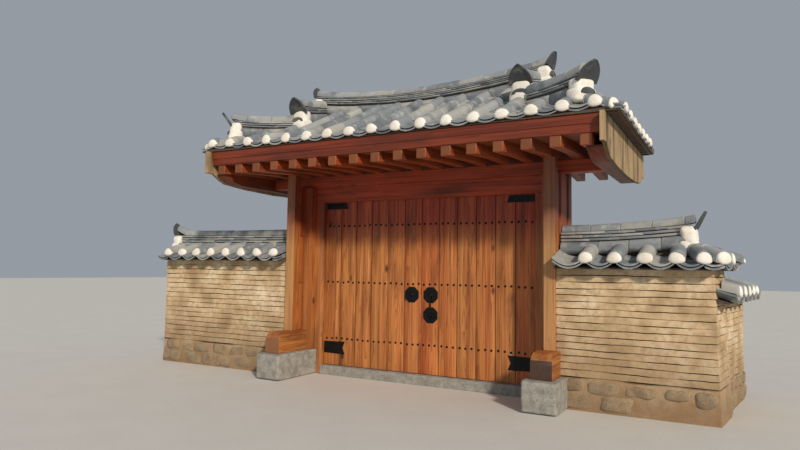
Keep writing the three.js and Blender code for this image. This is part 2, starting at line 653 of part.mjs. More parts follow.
/** The walls on both sides, and the return wall that runs back from the right-hand one. */
function walls() {
  const post = MAIN_POST.x[1];
  const { end: rightEnd, foot: rightFoot, ridgeEnd: rightRidgeEnd } = RIGHT_WALL;
  const { end: leftEnd, ridgeEnd: leftRidgeEnd } = LEFT_WALL;
  const beyondRidge = (rightEnd + rightRidgeEnd) / 2;
  const rightWall = splayed(alongY(wallFace(rightFoot, rightEnd), [WALL.front, WALL.back]), beyondRidge);
  const rightTop = splayed(coping([post, rightEnd], rightRidgeEnd, RIGHT_COPING), beyondRidge);
  const rightCoping = tiledCoping(rightTop, RIGHT_ROWS, RIGHT_COPING.bed, FAN_ROWS);
  const leftWall = alongY(wallFace(leftEnd, leftEnd), [WALL.front, WALL.back]);
  const leftTop = coping([post, leftEnd], leftRidgeEnd, LEFT_COPING);
  const leftCoping = tiledCoping(leftTop, LEFT_ROWS, LEFT_COPING.bed, []);
  const leftPieces = new THREE.Group();
  leftPieces.scale.x = -1;
  leftPieces.add(piece("left_wall", leftWall, LOOK.clay), piece("left_coping", leftCoping, LOOK.tile));
  return [
    piece("right_wall", rightWall, LOOK.clay),
    piece("right_coping", rightCoping, LOOK.tile),
    leftPieces,
    ...returnWall(),
  ];
}

/** The return wall and its coping, in line with the splayed end of the right-hand wall. */
function returnWall() {
  const [y0, y1] = [WALL.back + SEAT, RETURN_WALL.back];
  const [inner, outer] = [RIGHT_WALL.end - (WALL.back - WALL.front), RIGHT_WALL.end];
  const bedTop = RETURN_WALL.top + SEAT + COPING.bed;
  const eaveTop = bedTop + COPING.eave;
  const shoulderTop = eaveTop + COPING.slope;
  const middle = (inner + outer) / 2;
  const eaves = [inner - COPING.overhang, outer + COPING.overhang];
  const shoulders = [middle - COPING.shoulder, middle + COPING.shoulder];
  const ridgeFrom = WALL.back + COPING.overhang + RETURN_WALL.ridgeGap;
  const root = () => shoulderTop - ROOT_DEPTH;
  const crest = () => shoulderTop + RIGHT_COPING.ridge;
  const ridge = bar(RIDGE_HALF, [ridgeFrom, y1], COPING_RIDGE_HALF, root, crest, 1);
  const ledgeX = [RIGHT_WALL.foot, eaves[1]];
  const ledgeTop = eaveTop + RETURN_WALL.ledgeRise;
  const ledge = [[ledgeX[0], bedTop], [ledgeX[1], bedTop], [ledgeX[1], eaveTop], [ledgeX[0], ledgeTop]];
  const wall = block([inner, outer], [y0, y1], [0, RETURN_WALL.top]);
  const cover = fuse(
    block([inner, outer], [y0, y1], [RETURN_WALL.top + SEAT, bedTop + OVERLAP]),
    block(eaves, [y0, y1], [bedTop, eaveTop]),
    slope(eaves, [y0, y1], [eaveTop - OVERLAP, shoulderTop], shoulders, [y0, y1]),
    ridge.rotateZ(Math.PI / 2).translate(middle, 0, 0),
    alongY(ledge, [RETURN_WALL.ledgeFront, y0 + OVERLAP]),
    ...copingRows(RETURN_ROWS, (row, y) => row.translate(middle, y, 0), eaveTop),
  );
  return [
    piece("return_wall", splayed(wall, 0), LOOK.clay),
    piece("return_coping", splayed(cover, 0), LOOK.tile),
  ];
}

const gate = new THREE.Group();
gate.name = "hanok_gatehouse";
gate.add(
  piece("door_sill", doorSill(), LOOK.granite),
  ...sides(),
  ...pair("jamb", jamb(), LOOK.pine),
  piece("lintel", lintel(), LOOK.pine),
  ...doors(),
  ...roof(),
  ...walls(),
);

export default gate;
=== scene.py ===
"""A hanok gatehouse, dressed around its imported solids.

The timber frame, the two plank doors, the tiled roof with its ridges and the coped clay walls are each
a class. Lengths are metres, +X is to the right as one faces the doors, +Y goes in through them, +Z is up.
"""

from __future__ import annotations

import logging
import math
from collections.abc import Callable, Sequence
from dataclasses import dataclass
from enum import Enum

import bpy
import numpy as np
from mathutils import Matrix, Vector

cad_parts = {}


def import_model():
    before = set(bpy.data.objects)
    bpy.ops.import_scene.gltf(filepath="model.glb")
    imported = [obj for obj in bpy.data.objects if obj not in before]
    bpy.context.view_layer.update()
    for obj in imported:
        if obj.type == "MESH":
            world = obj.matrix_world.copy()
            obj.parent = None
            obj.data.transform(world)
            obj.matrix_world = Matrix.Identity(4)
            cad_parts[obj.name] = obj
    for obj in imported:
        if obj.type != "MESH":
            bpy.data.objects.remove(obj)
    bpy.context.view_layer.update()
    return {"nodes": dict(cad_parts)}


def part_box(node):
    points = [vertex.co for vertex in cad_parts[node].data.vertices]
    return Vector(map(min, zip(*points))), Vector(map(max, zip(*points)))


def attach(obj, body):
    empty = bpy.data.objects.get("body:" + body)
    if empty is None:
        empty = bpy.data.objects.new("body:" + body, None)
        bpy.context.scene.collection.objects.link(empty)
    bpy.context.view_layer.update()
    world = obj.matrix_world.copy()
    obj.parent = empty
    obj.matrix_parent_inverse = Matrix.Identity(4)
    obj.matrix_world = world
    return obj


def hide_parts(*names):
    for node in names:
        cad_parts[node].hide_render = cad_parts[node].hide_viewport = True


log = logging.getLogger("gatehouse")

Array = np.ndarray
Pair = tuple[float, float]
Triple = tuple[float, float, float]
Four = tuple[float, float, float, float]
Numbers = tuple[float, ...]
Surface = Callable[[Array], Array]

# Edges of rounded pieces stay sharp only where they turn by more than this many degrees.
ROUNDED = 60.0


class Axis(Enum):
    """The direction in which a timber was grown, as the number of its coordinate."""

    X = 0
    Y = 1
    Z = 2


class Space(Enum):
    """What a timber's pattern is laid out on."""

    OBJECT = "object"
    GRAIN = "grain"


class Side(Enum):
    """A side of the roof, as the way out from it."""

    FRONT = (0, -1)
    RIGHT = (1, 0)
    REAR = (0, 1)
    LEFT = (-1, 0)

    @property
    def long(self) -> bool:
        """Whether it is one of the two long sides."""
        return self in (Side.FRONT, Side.REAR)


class Body(Enum):
    """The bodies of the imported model."""

    GATE = "gate"
    LEFT_DOOR = "left_door"
    RIGHT_DOOR = "right_door"


# Colours and nodes


def linear(code: str) -> Four:
    """Turns an sRGB hex value into a linear colour.

    Args:
        code: Six hex digits after a hash sign.

    Returns:
        Red, green, blue and an alpha of 1.
    """
    shares = np.array([int(code[i : i + 2], 16) for i in (1, 3, 5)]) / 255
    low = shares / 12.92
    high = ((shares + 0.055) / 1.055) ** 2.4
    red, green, blue = np.where(shares <= 0.04045, low, high)
    return float(red), float(green), float(blue), 1.0


def add(tree: bpy.types.NodeTree, kind: str, inputs: dict | None = None, out: int | str = 0,
        stops: Sequence[tuple[float, str]] = (), **settings: object) -> bpy.types.NodeSocket | None:
    """Adds one shader node to a tree.

    Args:
        tree: The node tree.
        kind: The node's type name, without the word that all of them start with.
        inputs: What each input gets, by name or number: a value, or an output to link.
        out: Which of its outputs is wanted, by name or number.
        stops: For a colour ramp, pairs of a position and a hex colour.
        settings: The node's own settings.

    Returns:
        The output that is wanted, or None for a node without any.
    """
    node = tree.nodes.new(f"ShaderNode{kind}")
    for name, value in settings.items():
        setattr(node, name, value)
    for number, (position, colour) in enumerate(stops):
        elements = node.color_ramp.elements
        element = elements[number] if number < 2 else elements.new(position)
        element.position = position
        element.color = linear(colour)
    for key, value in (inputs or {}).items():
        if isinstance(value, bpy.types.NodeSocket):
            tree.links.new(value, node.inputs[key])
        else:
            node.inputs[key].default_value = value
    return node.outputs[out] if node.outputs else None


def blank_material(name: str) -> tuple[bpy.types.Material, bpy.types.NodeTree]:
    """Makes a material with an empty node tree.

    Args:
        name: The material's name.

    Returns:
        The material and its tree.
    """
    material = bpy.data.materials.new(name)
    material.use_nodes = True
    material.node_tree.nodes.clear()
    return material, material.node_tree


def coated(tree: bpy.types.NodeTree, colour: object, coats: Sequence[tuple]) -> bpy.types.NodeSocket:
    """Lays coats of colour over one another.

    Args:
        tree: The node tree.
        colour: What is under the coats: a linear colour, or an output that gives one.
        coats: For each coat the output of its pattern, the two values between which the pattern counts,
            how much the coat covers at each of them, and its hex colour.

    Returns:
        The output of the last coat.
    """
    for pattern, low, high, first, last, coat in coats:
        share = add(tree, "MapRange", {0: pattern, 1: low, 2: high, 3: first, 4: last})
        colour = add(tree, "Mix", {0: share, 6: colour, 7: linear(coat)}, out=2, data_type="RGBA")
    return colour


def surfaced(tree: bpy.types.NodeTree, colour: bpy.types.NodeSocket, rough: float,
             relief: tuple[bpy.types.NodeSocket, float, float], metallic: float = 0.0) -> None:
    """Ends a tree with the surface itself.

    Args:
        tree: The node tree.
        colour: The output with its colour.
        rough: Its roughness.
        relief: The output that its small bumps follow, their strength and their height.
        metallic: 1 for clean metal, and less under rust.
    """
    pattern, strength, deep = relief
    bump = add(tree, "Bump", {"Height": pattern, "Strength": strength, "Distance": deep})
    shader = add(tree, "BsdfPrincipled", {"Base Color": colour, "Metallic": metallic, "Roughness": rough,
                                          "Normal": bump})
    add(tree, "OutputMaterial", {"Surface": shader})


# Finishes


# How often each pattern in timber repeats in a metre, across and along the grain, and its detail.
TIMBER_PATTERNS = {
    "warp": (7.0, 0.6, 2.0),
    "fine": (230.0, 5.0, 3.0),
    "band": (15.0, 0.3, 2.0),
    "streak": (24.0, 0.7, 3.0),
    "stain": (6.0, 1.1, 4.0),
    "check": (16.0, 0.5, 1.0),
    "cracked": (3.0, 1.5, 1.0),
}


@dataclass(frozen=True)
class Timber:
    """Sawn pine: growth rings that run out as long arches, fine fibres, checks, knots and end grain.

    Each piece has a hue of its own between the light and the warm colour, with darker streaks and stains.
    Real rings are 3 to 5 mm apart. They are drawn wider, so that they still show in the render.
    """

    name: str
    light: str = "#c88a4a"
    warm: str = "#b0602a"
    dark: str = "#6b3114"
    stain: str = "#3f1b0c"
    end: str = "#6f5540"
    along: Axis = Axis.Z
    space: Space = Space.GRAIN
    ring: float = 0.018
    streak: float = 0.011
    banded: float = 0.45
    rough: float = 0.55
    streaked: float = 0.6
    stained: float = 0.6
    front: float = 0.0
    bleach: str = "#c79d68"
    # Painted shade under the eave: the tint that multiplies the wood's colour, and the heights over which it
    # fades in.
    eave_shade_tint: str = "#ffffff"
    dry: Pair = (1.82, 2.18)
    slot: str = "pine"

    def material(self) -> bpy.types.Material:
        """Builds the material.

        The grain lies on the wood's own hue, and streaks, stains, checks, knots, a bleached front and the
        end grain lie on it as coats, each with the share that its own pattern gives. Over the heights in dry,
        up under the eave, a painted shade tint multiplies them all, so the wood there is darker and redder,
        as in the eave's shadow.

        Returns:
            A material whose pattern runs along the timber.
        """
        material, tree = blank_material(self.name)
        normal = add(tree, "TexCoord", out="Normal")
        spot = add(tree, "TexCoord", out="Object")
        if self.space is Space.GRAIN:
            place = add(tree, "Attribute", out="Vector", attribute_name="grain")
            tone = add(tree, "Attribute", out="Fac", attribute_name="tone")
        else:
            turn = {Axis.X: (0, math.pi / 2, 0), Axis.Y: (math.pi / 2, 0, 0), Axis.Z: (0, 0, 0)}[self.along]
            place = add(tree, "Mapping", {"Vector": spot, "Location": (0.13, 0.07, 0), "Rotation": turn})
            tone = add(tree, "TexNoise", {"Vector": place, "Scale": 0.9, "Detail": 0.0})
        drawn = {}
        patterns = {"fibre": (1 / self.streak, 1.2, 3.0)} | TIMBER_PATTERNS
        for pattern, (across, along, detail) in patterns.items():
            scaled = add(tree, "VectorMath", {0: place, 1: (across, across, along)}, operation="MULTIPLY")
            drawn[pattern] = add(tree, "TexNoise", {"Vector": scaled, "Scale": 1.0, "Detail": detail},
                                 out="Color" if pattern == "warp" else "Fac")
        # growth rings, which widen slowly and then end in a dark line, with fibres over them
        stray = add(tree, "VectorMath", {0: drawn["warp"], 1: (0.5, 0.5, 0.5)}, operation="SUBTRACT")
        bent = add(tree, "VectorMath", {0: stray, 1: (0.2, 0.2, 0), 2: place}, operation="MULTIPLY_ADD")
        flat = add(tree, "VectorMath", {0: bent, 1: (1, 1, 0)}, operation="MULTIPLY")
        radius = add(tree, "VectorMath", {0: flat}, out="Value", operation="LENGTH")
        turns = add(tree, "Math", {0: radius, 1: self.ring}, operation="DIVIDE")
        saw = add(tree, "Math", {0: turns}, operation="FRACT")
        late = add(tree, "ValToRGB", {"Fac": saw},
                   stops=[(0.0, "#101010"), (0.97, "#f0f0f0"), (0.5, "#3a3a3a"), (0.85, "#c8c8c8")])
        fibre = add(tree, "MapRange", {0: drawn["fibre"], 1: 0.35, 2: 0.68})
        lines = add(tree, "Mix", {0: 0.5, 2: late, 3: fibre})
        grain = add(tree, "Mix", {0: 0.25, 2: lines, 3: drawn["fine"]})
        # drying checks, in some places only, and knots
        check = add(tree, "Math", {0: drawn["check"], 1: 0.5}, operation="SUBTRACT")
        near = add(tree, "Math", {0: check}, operation="ABSOLUTE")
        split = add(tree, "MapRange", {0: near, 1: 0.0, 2: 0.006, 3: 0.8, 4: 0.0})
        some = add(tree, "MapRange", {0: drawn["cracked"], 1: 0.55, 2: 0.6})
        checks = add(tree, "Math", {0: split, 1: some}, operation="MULTIPLY")
        halved = add(tree, "VectorMath", {0: place, 1: (1, 1, 0.5)}, operation="MULTIPLY")
        knot = add(tree, "TexVoronoi", {"Vector": halved, "Scale": 3.4}, out="Distance")
        # the share that is bleached in front, and the end grain
        forward = add(tree, "VectorMath", {0: normal, 1: (0, -1, 0)}, out="Value", operation="DOT_PRODUCT")
        front = add(tree, "MapRange", {0: forward, 1: 0.8, 2: 0.95, 4: self.front})
        worn = add(tree, "MapRange", {0: drawn["fibre"], 1: 0.7, 2: 0.4, 3: 0.45})
        bare = add(tree, "Math", {0: front, 1: worn}, operation="MULTIPLY")
        upright = [float(self.along is axis) for axis in Axis]
        facing = add(tree, "VectorMath", {0: normal, 1: upright}, out="Value", operation="DOT_PRODUCT")
        square = add(tree, "Math", {0: facing}, operation="ABSOLUTE")
        band = add(tree, "MapRange", {0: drawn["band"], 1: 0.36, 2: 0.62})
        hue = add(tree, "Mix", {0: self.banded, 2: tone, 3: band})
        colour = coated(tree, linear(self.light), (
            (hue, 0.0, 1.0, 0.0, 1.0, self.warm),
            (grain, 0.28, 0.85, 0.0, 0.85, self.dark),
            (drawn["streak"], 0.47, 0.68, 0.0, self.streaked, self.dark),
            (drawn["stain"], 0.5, 0.72, 0.0, self.stained, self.stain),
            (checks, 0.0, 1.0, 0.0, 1.0, self.stain),
            (knot, 0.05, 0.12, 0.85, 0.0, self.stain),
            (bare, 0.0, 1.0, 0.0, 1.0, self.bleach),
            (square, 0.8, 0.95, 0.0, 0.9, self.end),
        ))
        # painted shade: above these heights the wood is tinted darker and redder, as the eave's shadow would
        # make it
        height = add(tree, "SeparateXYZ", {"Vector": spot}, out="Z")
        under = add(tree, "MapRange", {0: height, 1: self.dry[0], 2: self.dry[1]})
        eave_shaded = add(tree, "Mix", {0: under, 6: colour, 7: linear(self.eave_shade_tint)}, out=2, data_type="RGBA",
                     blend_type="MULTIPLY")
        light = add(tree, "MapRange", {0: tone, 3: 0.84, 4: 1.14})
        shade = add(tree, "HueSaturation", {"Value": light, "Color": eave_shaded})
        surfaced(tree, shade, self.rough, (grain, 0.5, 0.002))
        return material


@dataclass(frozen=True)
class FiredTile:
    """Smoke-fired clay tile: matt grey that differs from tile to tile, with pale lichen and dark rain marks.

    The grit is drawn 8 mm across, coarser than the real one, so that it still shows in the render.
    """

    name: str = "smoke-fired roof tile"
    shades: tuple[str, ...] = ("#71777d", "#a0a3a4", "#898f93", "#aba9a1")
    lichen: str = "#bdbfbc"
    soot: str = "#3a3d42"
    grit: float = 0.008
    slot: str = "roof_tile"

    def material(self) -> bpy.types.Material:
        """Builds the material.

        Returns:
            A material that reads each tile's own tone.
        """
        material, tree = blank_material(self.name)
        place = add(tree, "TexCoord", out="Object")
        tone = add(tree, "Attribute", out="Fac", attribute_name="tone")
        base = add(tree, "ValToRGB", {"Fac": tone}, stops=list(zip((0.0, 1.0, 0.45, 0.8), self.shades)))
        patch, mark, grit = (
            add(tree, "TexNoise", {"Vector": place, "Scale": scale, "Detail": detail, "Roughness": rough})
            for scale, detail, rough in ((9.0, 6.0, 0.65), (3.5, 5.0, 0.5), (1 / self.grit, 4.0, 0.5)))
        colour = coated(tree, base, ((patch, 0.52, 0.72, 0.0, 0.75, self.lichen),
                                     (mark, 0.55, 0.8, 0.0, 0.8, self.soot)))
        surfaced(tree, colour, 0.82, (grit, 0.4, 0.003))
        return material


@dataclass(frozen=True)
class Mineral:
    """A dull mineral surface in three colours: patches of one on another, with fine grains of a third."""

    name: str
    base: str
    patch: str
    grain: str
    patch_size: float
    grain_size: float
    relief: float
    slot: str
    rough: float = 0.9

    def material(self) -> bpy.types.Material:
        """Builds the material.

        Returns:
            A material laid out on Object coordinates.
        """
        material, tree = blank_material(self.name)
        place = add(tree, "TexCoord", out="Object")
        cloud, grit = (
            add(tree, "TexNoise", {"Vector": place, "Scale": 1 / size, "Detail": detail, "Roughness": rough})
            for size, detail, rough in ((self.patch_size, 6.0, 0.6), (self.grain_size, 3.0, 0.5)))
        colour = coated(tree, linear(self.base), ((cloud, 0.4, 0.65, 0.0, 1.0, self.patch),
                                                  (grit, 0.52, 0.68, 0.0, 0.7, self.grain)))
        surfaced(tree, colour, self.rough, (grit, 0.6, self.relief))
        return material


@dataclass(frozen=True)
class RammedClay:
    """Straw clay in thin courses: pale tan, patchy, with crumbs, and dark in the joints, where painted shade
    stands for the shadow under each course's lip.
    """

    name: str = "tan straw clay"
    clay: str = "#d6bb94"
    pale: str = "#eedbbb"
    damp: str = "#ab8f6b"
    earth: str = "#86694b"
    # painted shade: the near-black colour of the joints, for the shadow under each course's lip
    joint: str = "#33261b"
    slot: str = "clay_wall"

    def material(self) -> bpy.types.Material:
        """Builds the material.

        Returns:
            A material that is dark where the tone of the surface is low, as it is in the joints: painted
            shade under each course.
        """
        material, tree = blank_material(self.name)
        place = add(tree, "TexCoord", out="Object")
        tone = add(tree, "Attribute", out="Fac", attribute_name="tone")
        cloud, blotch, crumb = (
            add(tree, "TexNoise", {"Vector": place, "Scale": scale, "Detail": detail, "Roughness": rough})
            for scale, detail, rough in ((3.0, 6.0, 0.5), (16.0, 5.0, 0.65), (90.0, 4.0, 0.5)))
        base = add(tree, "ValToRGB", {"Fac": cloud},
                   stops=[(0.32, self.damp), (0.7, self.pale), (0.5, self.clay)])
        height = add(tree, "SeparateXYZ", {"Vector": place}, out="Z")
        colour = coated(tree, base, ((blotch, 0.45, 0.68, 0.0, 0.7, self.damp),
                                     (height, 0.1, 0.95, 0.85, 0.0, self.earth),
                                     (crumb, 0.5, 0.75, 0.0, 0.35, self.damp),
                                     (tone, 0.1, 0.55, 1.0, 0.0, self.joint)))
        lumps = add(tree, "Mix", {0: 0.5, 2: crumb, 3: blotch})
        surfaced(tree, colour, 0.95, (lumps, 0.8, 0.012))
        return material


@dataclass(frozen=True)
class ForgedIron:
    """Black hammered iron: dark and half dull, with shallow dents and a trace of rust."""

    name: str = "black forged iron"
    black: str = "#1c1d20"
    rust: str = "#3a2a20"
    slot: str = "black_iron"

    def material(self) -> bpy.types.Material:
        """Builds the material.

        Returns:
            A metal with dents about 20 mm apart.
        """
        material, tree = blank_material(self.name)
        place = add(tree, "TexCoord", out="Object")
        dent, cloud = (add(tree, "TexNoise", {"Vector": place, "Scale": scale, "Detail": detail})
                       for scale, detail in ((50.0, 2.0), (14.0, 5.0)))
        colour = coated(tree, linear(self.black), ((cloud, 0.5, 0.7, 0.0, 0.6, self.rust),))
        surfaced(tree, colour, 0.48, (dent, 0.5, 0.003), metallic=0.7)
        return material


Finish = Timber | FiredTile | Mineral | RammedClay | ForgedIron

# Pine that oil has turned a warm red brown, half dull, with the grain in darker lines. Where rain and sun
# reach it, as on the fronts of the posts and on the gable boards, it is tan or grey and rougher.
# Posts, jambs, doors and panels carry a painted shade tint above about 1.8 m: darker and redder, as in the
# eave's shadow.
OILED_PINE = Timber("oiled pine, upright", space=Space.OBJECT, front=0.15, eave_shade_tint="#d8a2b0")
POST_PINE = Timber("oiled pine, sun-bleached in front", space=Space.OBJECT, front=0.65, stain="#3c2412",
                   eave_shade_tint="#c0a6b8")
# The beams and the lintel are red from oil and darker still from painted shade, standing for the roof's
# shadow over them.
BEAM_PINE_OILED_AND_PAINTED_SHADE = Timber("oiled pine, red with painted shade", "#c2522a", "#a33c1d", "#611b0d", along=Axis.X, space=Space.OBJECT)
BLOCK_PINE = Timber("oiled pine, inwards", space=Space.OBJECT, along=Axis.Y, end="#352d29")
DRY_BLOCK_PINE = Timber("oiled pine, dry end", space=Space.OBJECT, along=Axis.Y, end="#8d5f3f")
DOOR_PINE = Timber("oiled pine door boards", "#e09a53", "#b85c26", "#692a10", streaked=0.55, stained=0.5,
                   eave_shade_tint="#d89cb0", slot="door_pine")
PANEL_PINE = Timber("oiled pine panels", "#bd7436", "#a85a22", eave_shade_tint="#d8a2b0")
JOIST_PINE = Timber("oiled pine joists", "#b85c2d", "#9c441e", "#521d0e", along=Axis.Y, end="#7f4b2c")
RAIL_PINE = Timber("oiled pine rails", "#8f4424", "#74301a", "#48190d", along=Axis.Y, end="#5b2f1c")
DECK_PINE = Timber("oiled pine deck", "#a2602f", "#87481f", along=Axis.X)
# The eave board is darker and redder than the other pine: painted shade, for the eave tiles' shadow on it.
EAVE_BOARD_PINE_PAINTED_SHADE = Timber("oiled pine eave board", "#93401f", "#792d15", "#4b1a0c", along=Axis.X,
                         space=Space.OBJECT)
BLEACHED_PINE = Timber("sun-bleached pine", "#d2b98e", "#ab8c5f", "#6e543a", "#453424", space=Space.OBJECT,
                       rough=0.8, streaked=0.8, stained=0.9)
# The strips under the eave tiles are near-black brown: painted shade, for the deep shadow under the tiles.
STRIP_PINE_PAINTED_SHADE = Timber("pine strip in painted shade", "#5e2b19", "#4c2012", "#2c130a", along=Axis.X)
# Roof tile fired in smoke: matt and grey, paler with lichen. The tiles on the ridges' ends are blacker.
FIRED_TILE = FiredTile()
END_TILE = FiredTile("smoke-black end tile", ("#3d4144", "#5c5d5b", "#4a4d4f", "#6a6860"), "#83837c",
                     "#26282a")
# Lime plaster is chalk white and floury, bedding clay is brown and painted darker still, as shade in the gaps
# between ridge layers and under the tiles, and both stones are rough and dull.
LIME_PLASTER = Mineral("white lime plaster", "#f7f4ec", "#e9e2d2", "#cfc6b4", 0.12, 0.01, 0.002,
                       "roof_tile")
BED_CLAY_AND_PAINTED_SHADE = Mineral("brown bedding clay, darkened as painted shade", "#574a3d", "#463b31", "#6a5c4b", 0.2, 0.02, 0.004, "roof_tile")
GRANITE = Mineral("rough picked granite", "#a8a59c", "#89867e", "#65635e", 0.1, 0.012, 0.012, "granite")
FIELD_STONE = Mineral("weathered field stone", "#a08b6d", "#84705a", "#66594a", 0.14, 0.014, 0.008,
                      "clay_wall")
# Clay with chopped straw, floury and pale tan, and iron that is black from the forge.
RAMMED_CLAY = RammedClay()
FORGED_IRON = ForgedIron()
PALE_FLOOR = Mineral("pale studio floor", "#d6d3cd", "#d2cfc9", "#cecbc5", 0.6, 0.03, 0.0005, "")


# Surfaces


def packed(*columns: Array | float) -> Array:
    """Puts columns together in a new last axis, each spread out to the shape of them all."""
    return np.stack(np.broadcast_arrays(*columns), -1)


def circle(count: int) -> Array:
    """Returns the angles of points round a circle, from the left over the top."""
    return np.pi - (np.arange(count) + 0.5) / count * 2 * np.pi


def ripple(points: Array, length: float, seed: int) -> Array:
    """Gives each point a smooth random number from about -1 to 1.

    Formula: the mean of six sine waves in random directions, whose wavelengths are near the given one.

    Args:
        points: Places, with x, y and z in the last axis.
        length: The mean wavelength.
        seed: What makes this ripple differ from others.

    Returns:
        One number for each point.
    """
    rng = np.random.default_rng(seed)
    directions = rng.normal(size=(6, 3))
    directions /= np.linalg.norm(directions, axis=1, keepdims=True)
    waves = directions.T * (2 * np.pi / (length * rng.uniform(0.6, 1.6, 6)))
    return 1.7 * np.sin(points @ waves + rng.uniform(0, 2 * np.pi, 6)).mean(axis=-1)


@dataclass
class Shell:
    """Closed surfaces on their way to a mesh.

    points has a row for each vertex and faces a row of four vertex numbers for each quad. tone is one
    number from 0 to 1 for each vertex, and grain its place in the log that it was sawn from.
    """

    points: Array
    faces: Array
    tone: Array
    grain: Array

    def mirrored(self, axis: Axis) -> Shell:
        """Returns the mirror image across the plane through the origin, with its faces still outwards."""
        points = self.points * [1 - 2 * (axis.value == n) for n in range(3)]
        return Shell(points, self.faces[:, ::-1], self.tone, self.grain)


def loft(rings: Array, tone: float | Array = 0.5, grain: Array | None = None) -> Shell:
    """Closes a surface round a row of rings.

    Formula: point (i, j) is joined to (i + 1, j) and to (i, j + 1), the last j to the first. Each end is
    closed by a ladder of quads between the first half of its ring and the second half.

    Args:
        rings: Points, as rings by points round a ring by 3. A ring has an even number of points.
        tone: One tone for all, for each ring, or for each point.
        grain: Places in the log, shaped as rings, or None for the points themselves.

    Returns:
        The closed shell, with its faces outwards.
    """
    count, around, _ = rings.shape
    i, j = np.meshgrid(np.arange(count - 1), np.arange(around), indexing="ij")
    k = (j + 1) % around
    sides = packed(i * around + j, i * around + k, (i + 1) * around + k, (i + 1) * around + j)
    rung = np.arange(around // 2 - 1)
    near = packed(rung, around - 1 - rung, around - 2 - rung, rung + 1)
    far = (count - 1) * around + near[:, ::-1]
    faces = np.concatenate([sides.reshape(-1, 4), near, far])
    points = rings.reshape(-1, 3)
    a, b, c, d = (points[faces[:, n]] - points.mean(axis=0) for n in range(4))
    volume = np.einsum("ij,ij->", a, np.cross(b, c)) + np.einsum("ij,ij->", a, np.cross(c, d))
    tones = np.asarray(tone, float)
    tones = np.broadcast_to(tones[:, None] if tones.ndim == 1 else tones, (count, around))
    return Shell(points, faces if volume > 0 else faces[:, ::-1], tones.reshape(-1),
                 points if grain is None else grain.reshape(-1, 3))


def joined(shells: Sequence[Shell]) -> Shell:
    """Puts several shells together.

    Args:
        shells: At least one shell.

    Returns:
        One shell that holds them all.
    """
    starts = np.cumsum([0] + [len(shell.points) for shell in shells[:-1]])
    return Shell(np.concatenate([shell.points for shell in shells]),
                 np.concatenate([shell.faces + start for shell, start in zip(shells, starts)]),
                 np.concatenate([shell.tone for shell in shells]),
                 np.concatenate([shell.grain for shell in shells]))


def slab(half: float, low: float, high: float, edge: float, steps: int = 3) -> Array:
    """Draws a rounded rectangle, as across and up.

    Formula: quarter circles of the edge's radius at the four corners, the upper two first.

    Args:
        half: Half of the width.
        low: The underside.
        high: The top.
        edge: The radius of the corners.
        steps: Points in each corner.

    Returns:
        The points round it, from the left side over the top.
    """
    turn = np.linspace(0, np.pi / 2, steps)
    left = packed(-half + edge - edge * np.cos(turn), high - edge + edge * np.sin(turn))
    top = np.concatenate([left, left[::-1] * [-1, 1]])
    return np.concatenate([top, top[::-1] * [1, -1] + [0, low + high]])


def half_round(radius: float, skirt: float, steps: int = 9) -> Array:
    """Draws a half circle that stands on a flat skirt, as across and up.

    Formula: the circle's upper half, closed by as many points along its underside.

    Args:
        radius: The circle's radius.
        skirt: How far the underside lies below the circle's centre.
        steps: Points in the half circle.

    Returns:
        The points round it, from the left over the top.
    """
    turn = np.linspace(np.pi, 0, steps)
    arc = radius * packed(np.cos(turn), np.sin(turn))
    return np.concatenate([arc, packed(arc[::-1, 0], -skirt)])


def plank(low: Sequence[float], high: Sequence[float], along: Axis, seed: int, edge: float = 0.005,
          rings: int = 2) -> Shell:
    """Makes a straight timber with softened edges.

    Formula: a rounded rectangle carried along one axis, drawn in by the edge's radius at both ends.

    Args:
        low: Its lowest corner.
        high: Its highest corner.
        along: The axis of its grain.
        seed: What makes its grain and tone differ from others.
        edge: The radius of its edges.
        rings: How many rings it has between its ends.

    Returns:
        The timber, with its place in its own log as grain.
    """
    low, high = np.asarray(low, float), np.asarray(high, float)
    side, up = [n for n in range(3) if n != along.value]
    half = (high - low) / 2
    section = slab(half[side], -half[up], half[up], edge)
    inset = section * (1 - edge / half[[side, up]])
    reach = half[along.value]
    stations = np.concatenate([[-reach], np.linspace(-reach + edge, reach - edge, rings), [reach]])
    outline = np.stack([inset] + [section] * rings + [inset])
    place = np.empty((len(stations), len(section), 3))
    place[..., side] = outline[..., 0]
    place[..., up] = outline[..., 1]
    place[..., along.value] = stations[:, None]
    rng = np.random.default_rng(seed)
    heart = np.array([rng.uniform(0.03, 0.16), rng.uniform(0.03, 0.2), rng.uniform(-40, 40)])
    log_place = place[..., [side, up, along.value]] * rng.choice([-1, 1], 3) + heart
    return loft(place + (low + high) / 2, rng.uniform(0, 1), log_place)


def boulder(low: Sequence[float], high: Sequence[float], power: float, rough: float, seed: int,
            around: int = 16, rings: int = 9) -> Shell:
    """Makes a stone or a block with soft, uneven faces.

    Formula: a superellipsoid between two corners, whose power is 2 for an egg and large for a box, with
    each point moved out by a ripple.

    Args:
        low: Its lowest corner.
        high: Its highest corner.
        power: The superellipsoid's power.
        rough: The height of the ripple, as a share of the stone.
        seed: What makes it differ from others.
        around: Points round it.
        rings: Rings from its foot to its top.

    Returns:
        The stone.
    """
    low, high = np.asarray(low, float), np.asarray(high, float)
    rise = np.linspace(-0.46, 0.46, rings)[:, None] * np.pi
    turn = (np.arange(around) + 0.5) / around * 2 * np.pi

    def bend(wave: Array) -> Array:
        """Returns a sine or cosine to the power that squares the shape."""
        return np.sign(wave) * np.abs(wave) ** (2 / power)

    wide = bend(np.cos(rise))
    unit = packed(wide * bend(np.cos(turn)), wide * bend(np.sin(turn)), bend(np.sin(rise)))
    size = (high - low) / 2
    swell = 1 - rough + rough * ripple(unit * size, size.mean() * 1.6, seed)[..., None]
    tone = np.random.default_rng(seed).uniform(0, 1)
    return loft(np.clip(unit * size * swell + (low + high) / 2, low, high), tone)


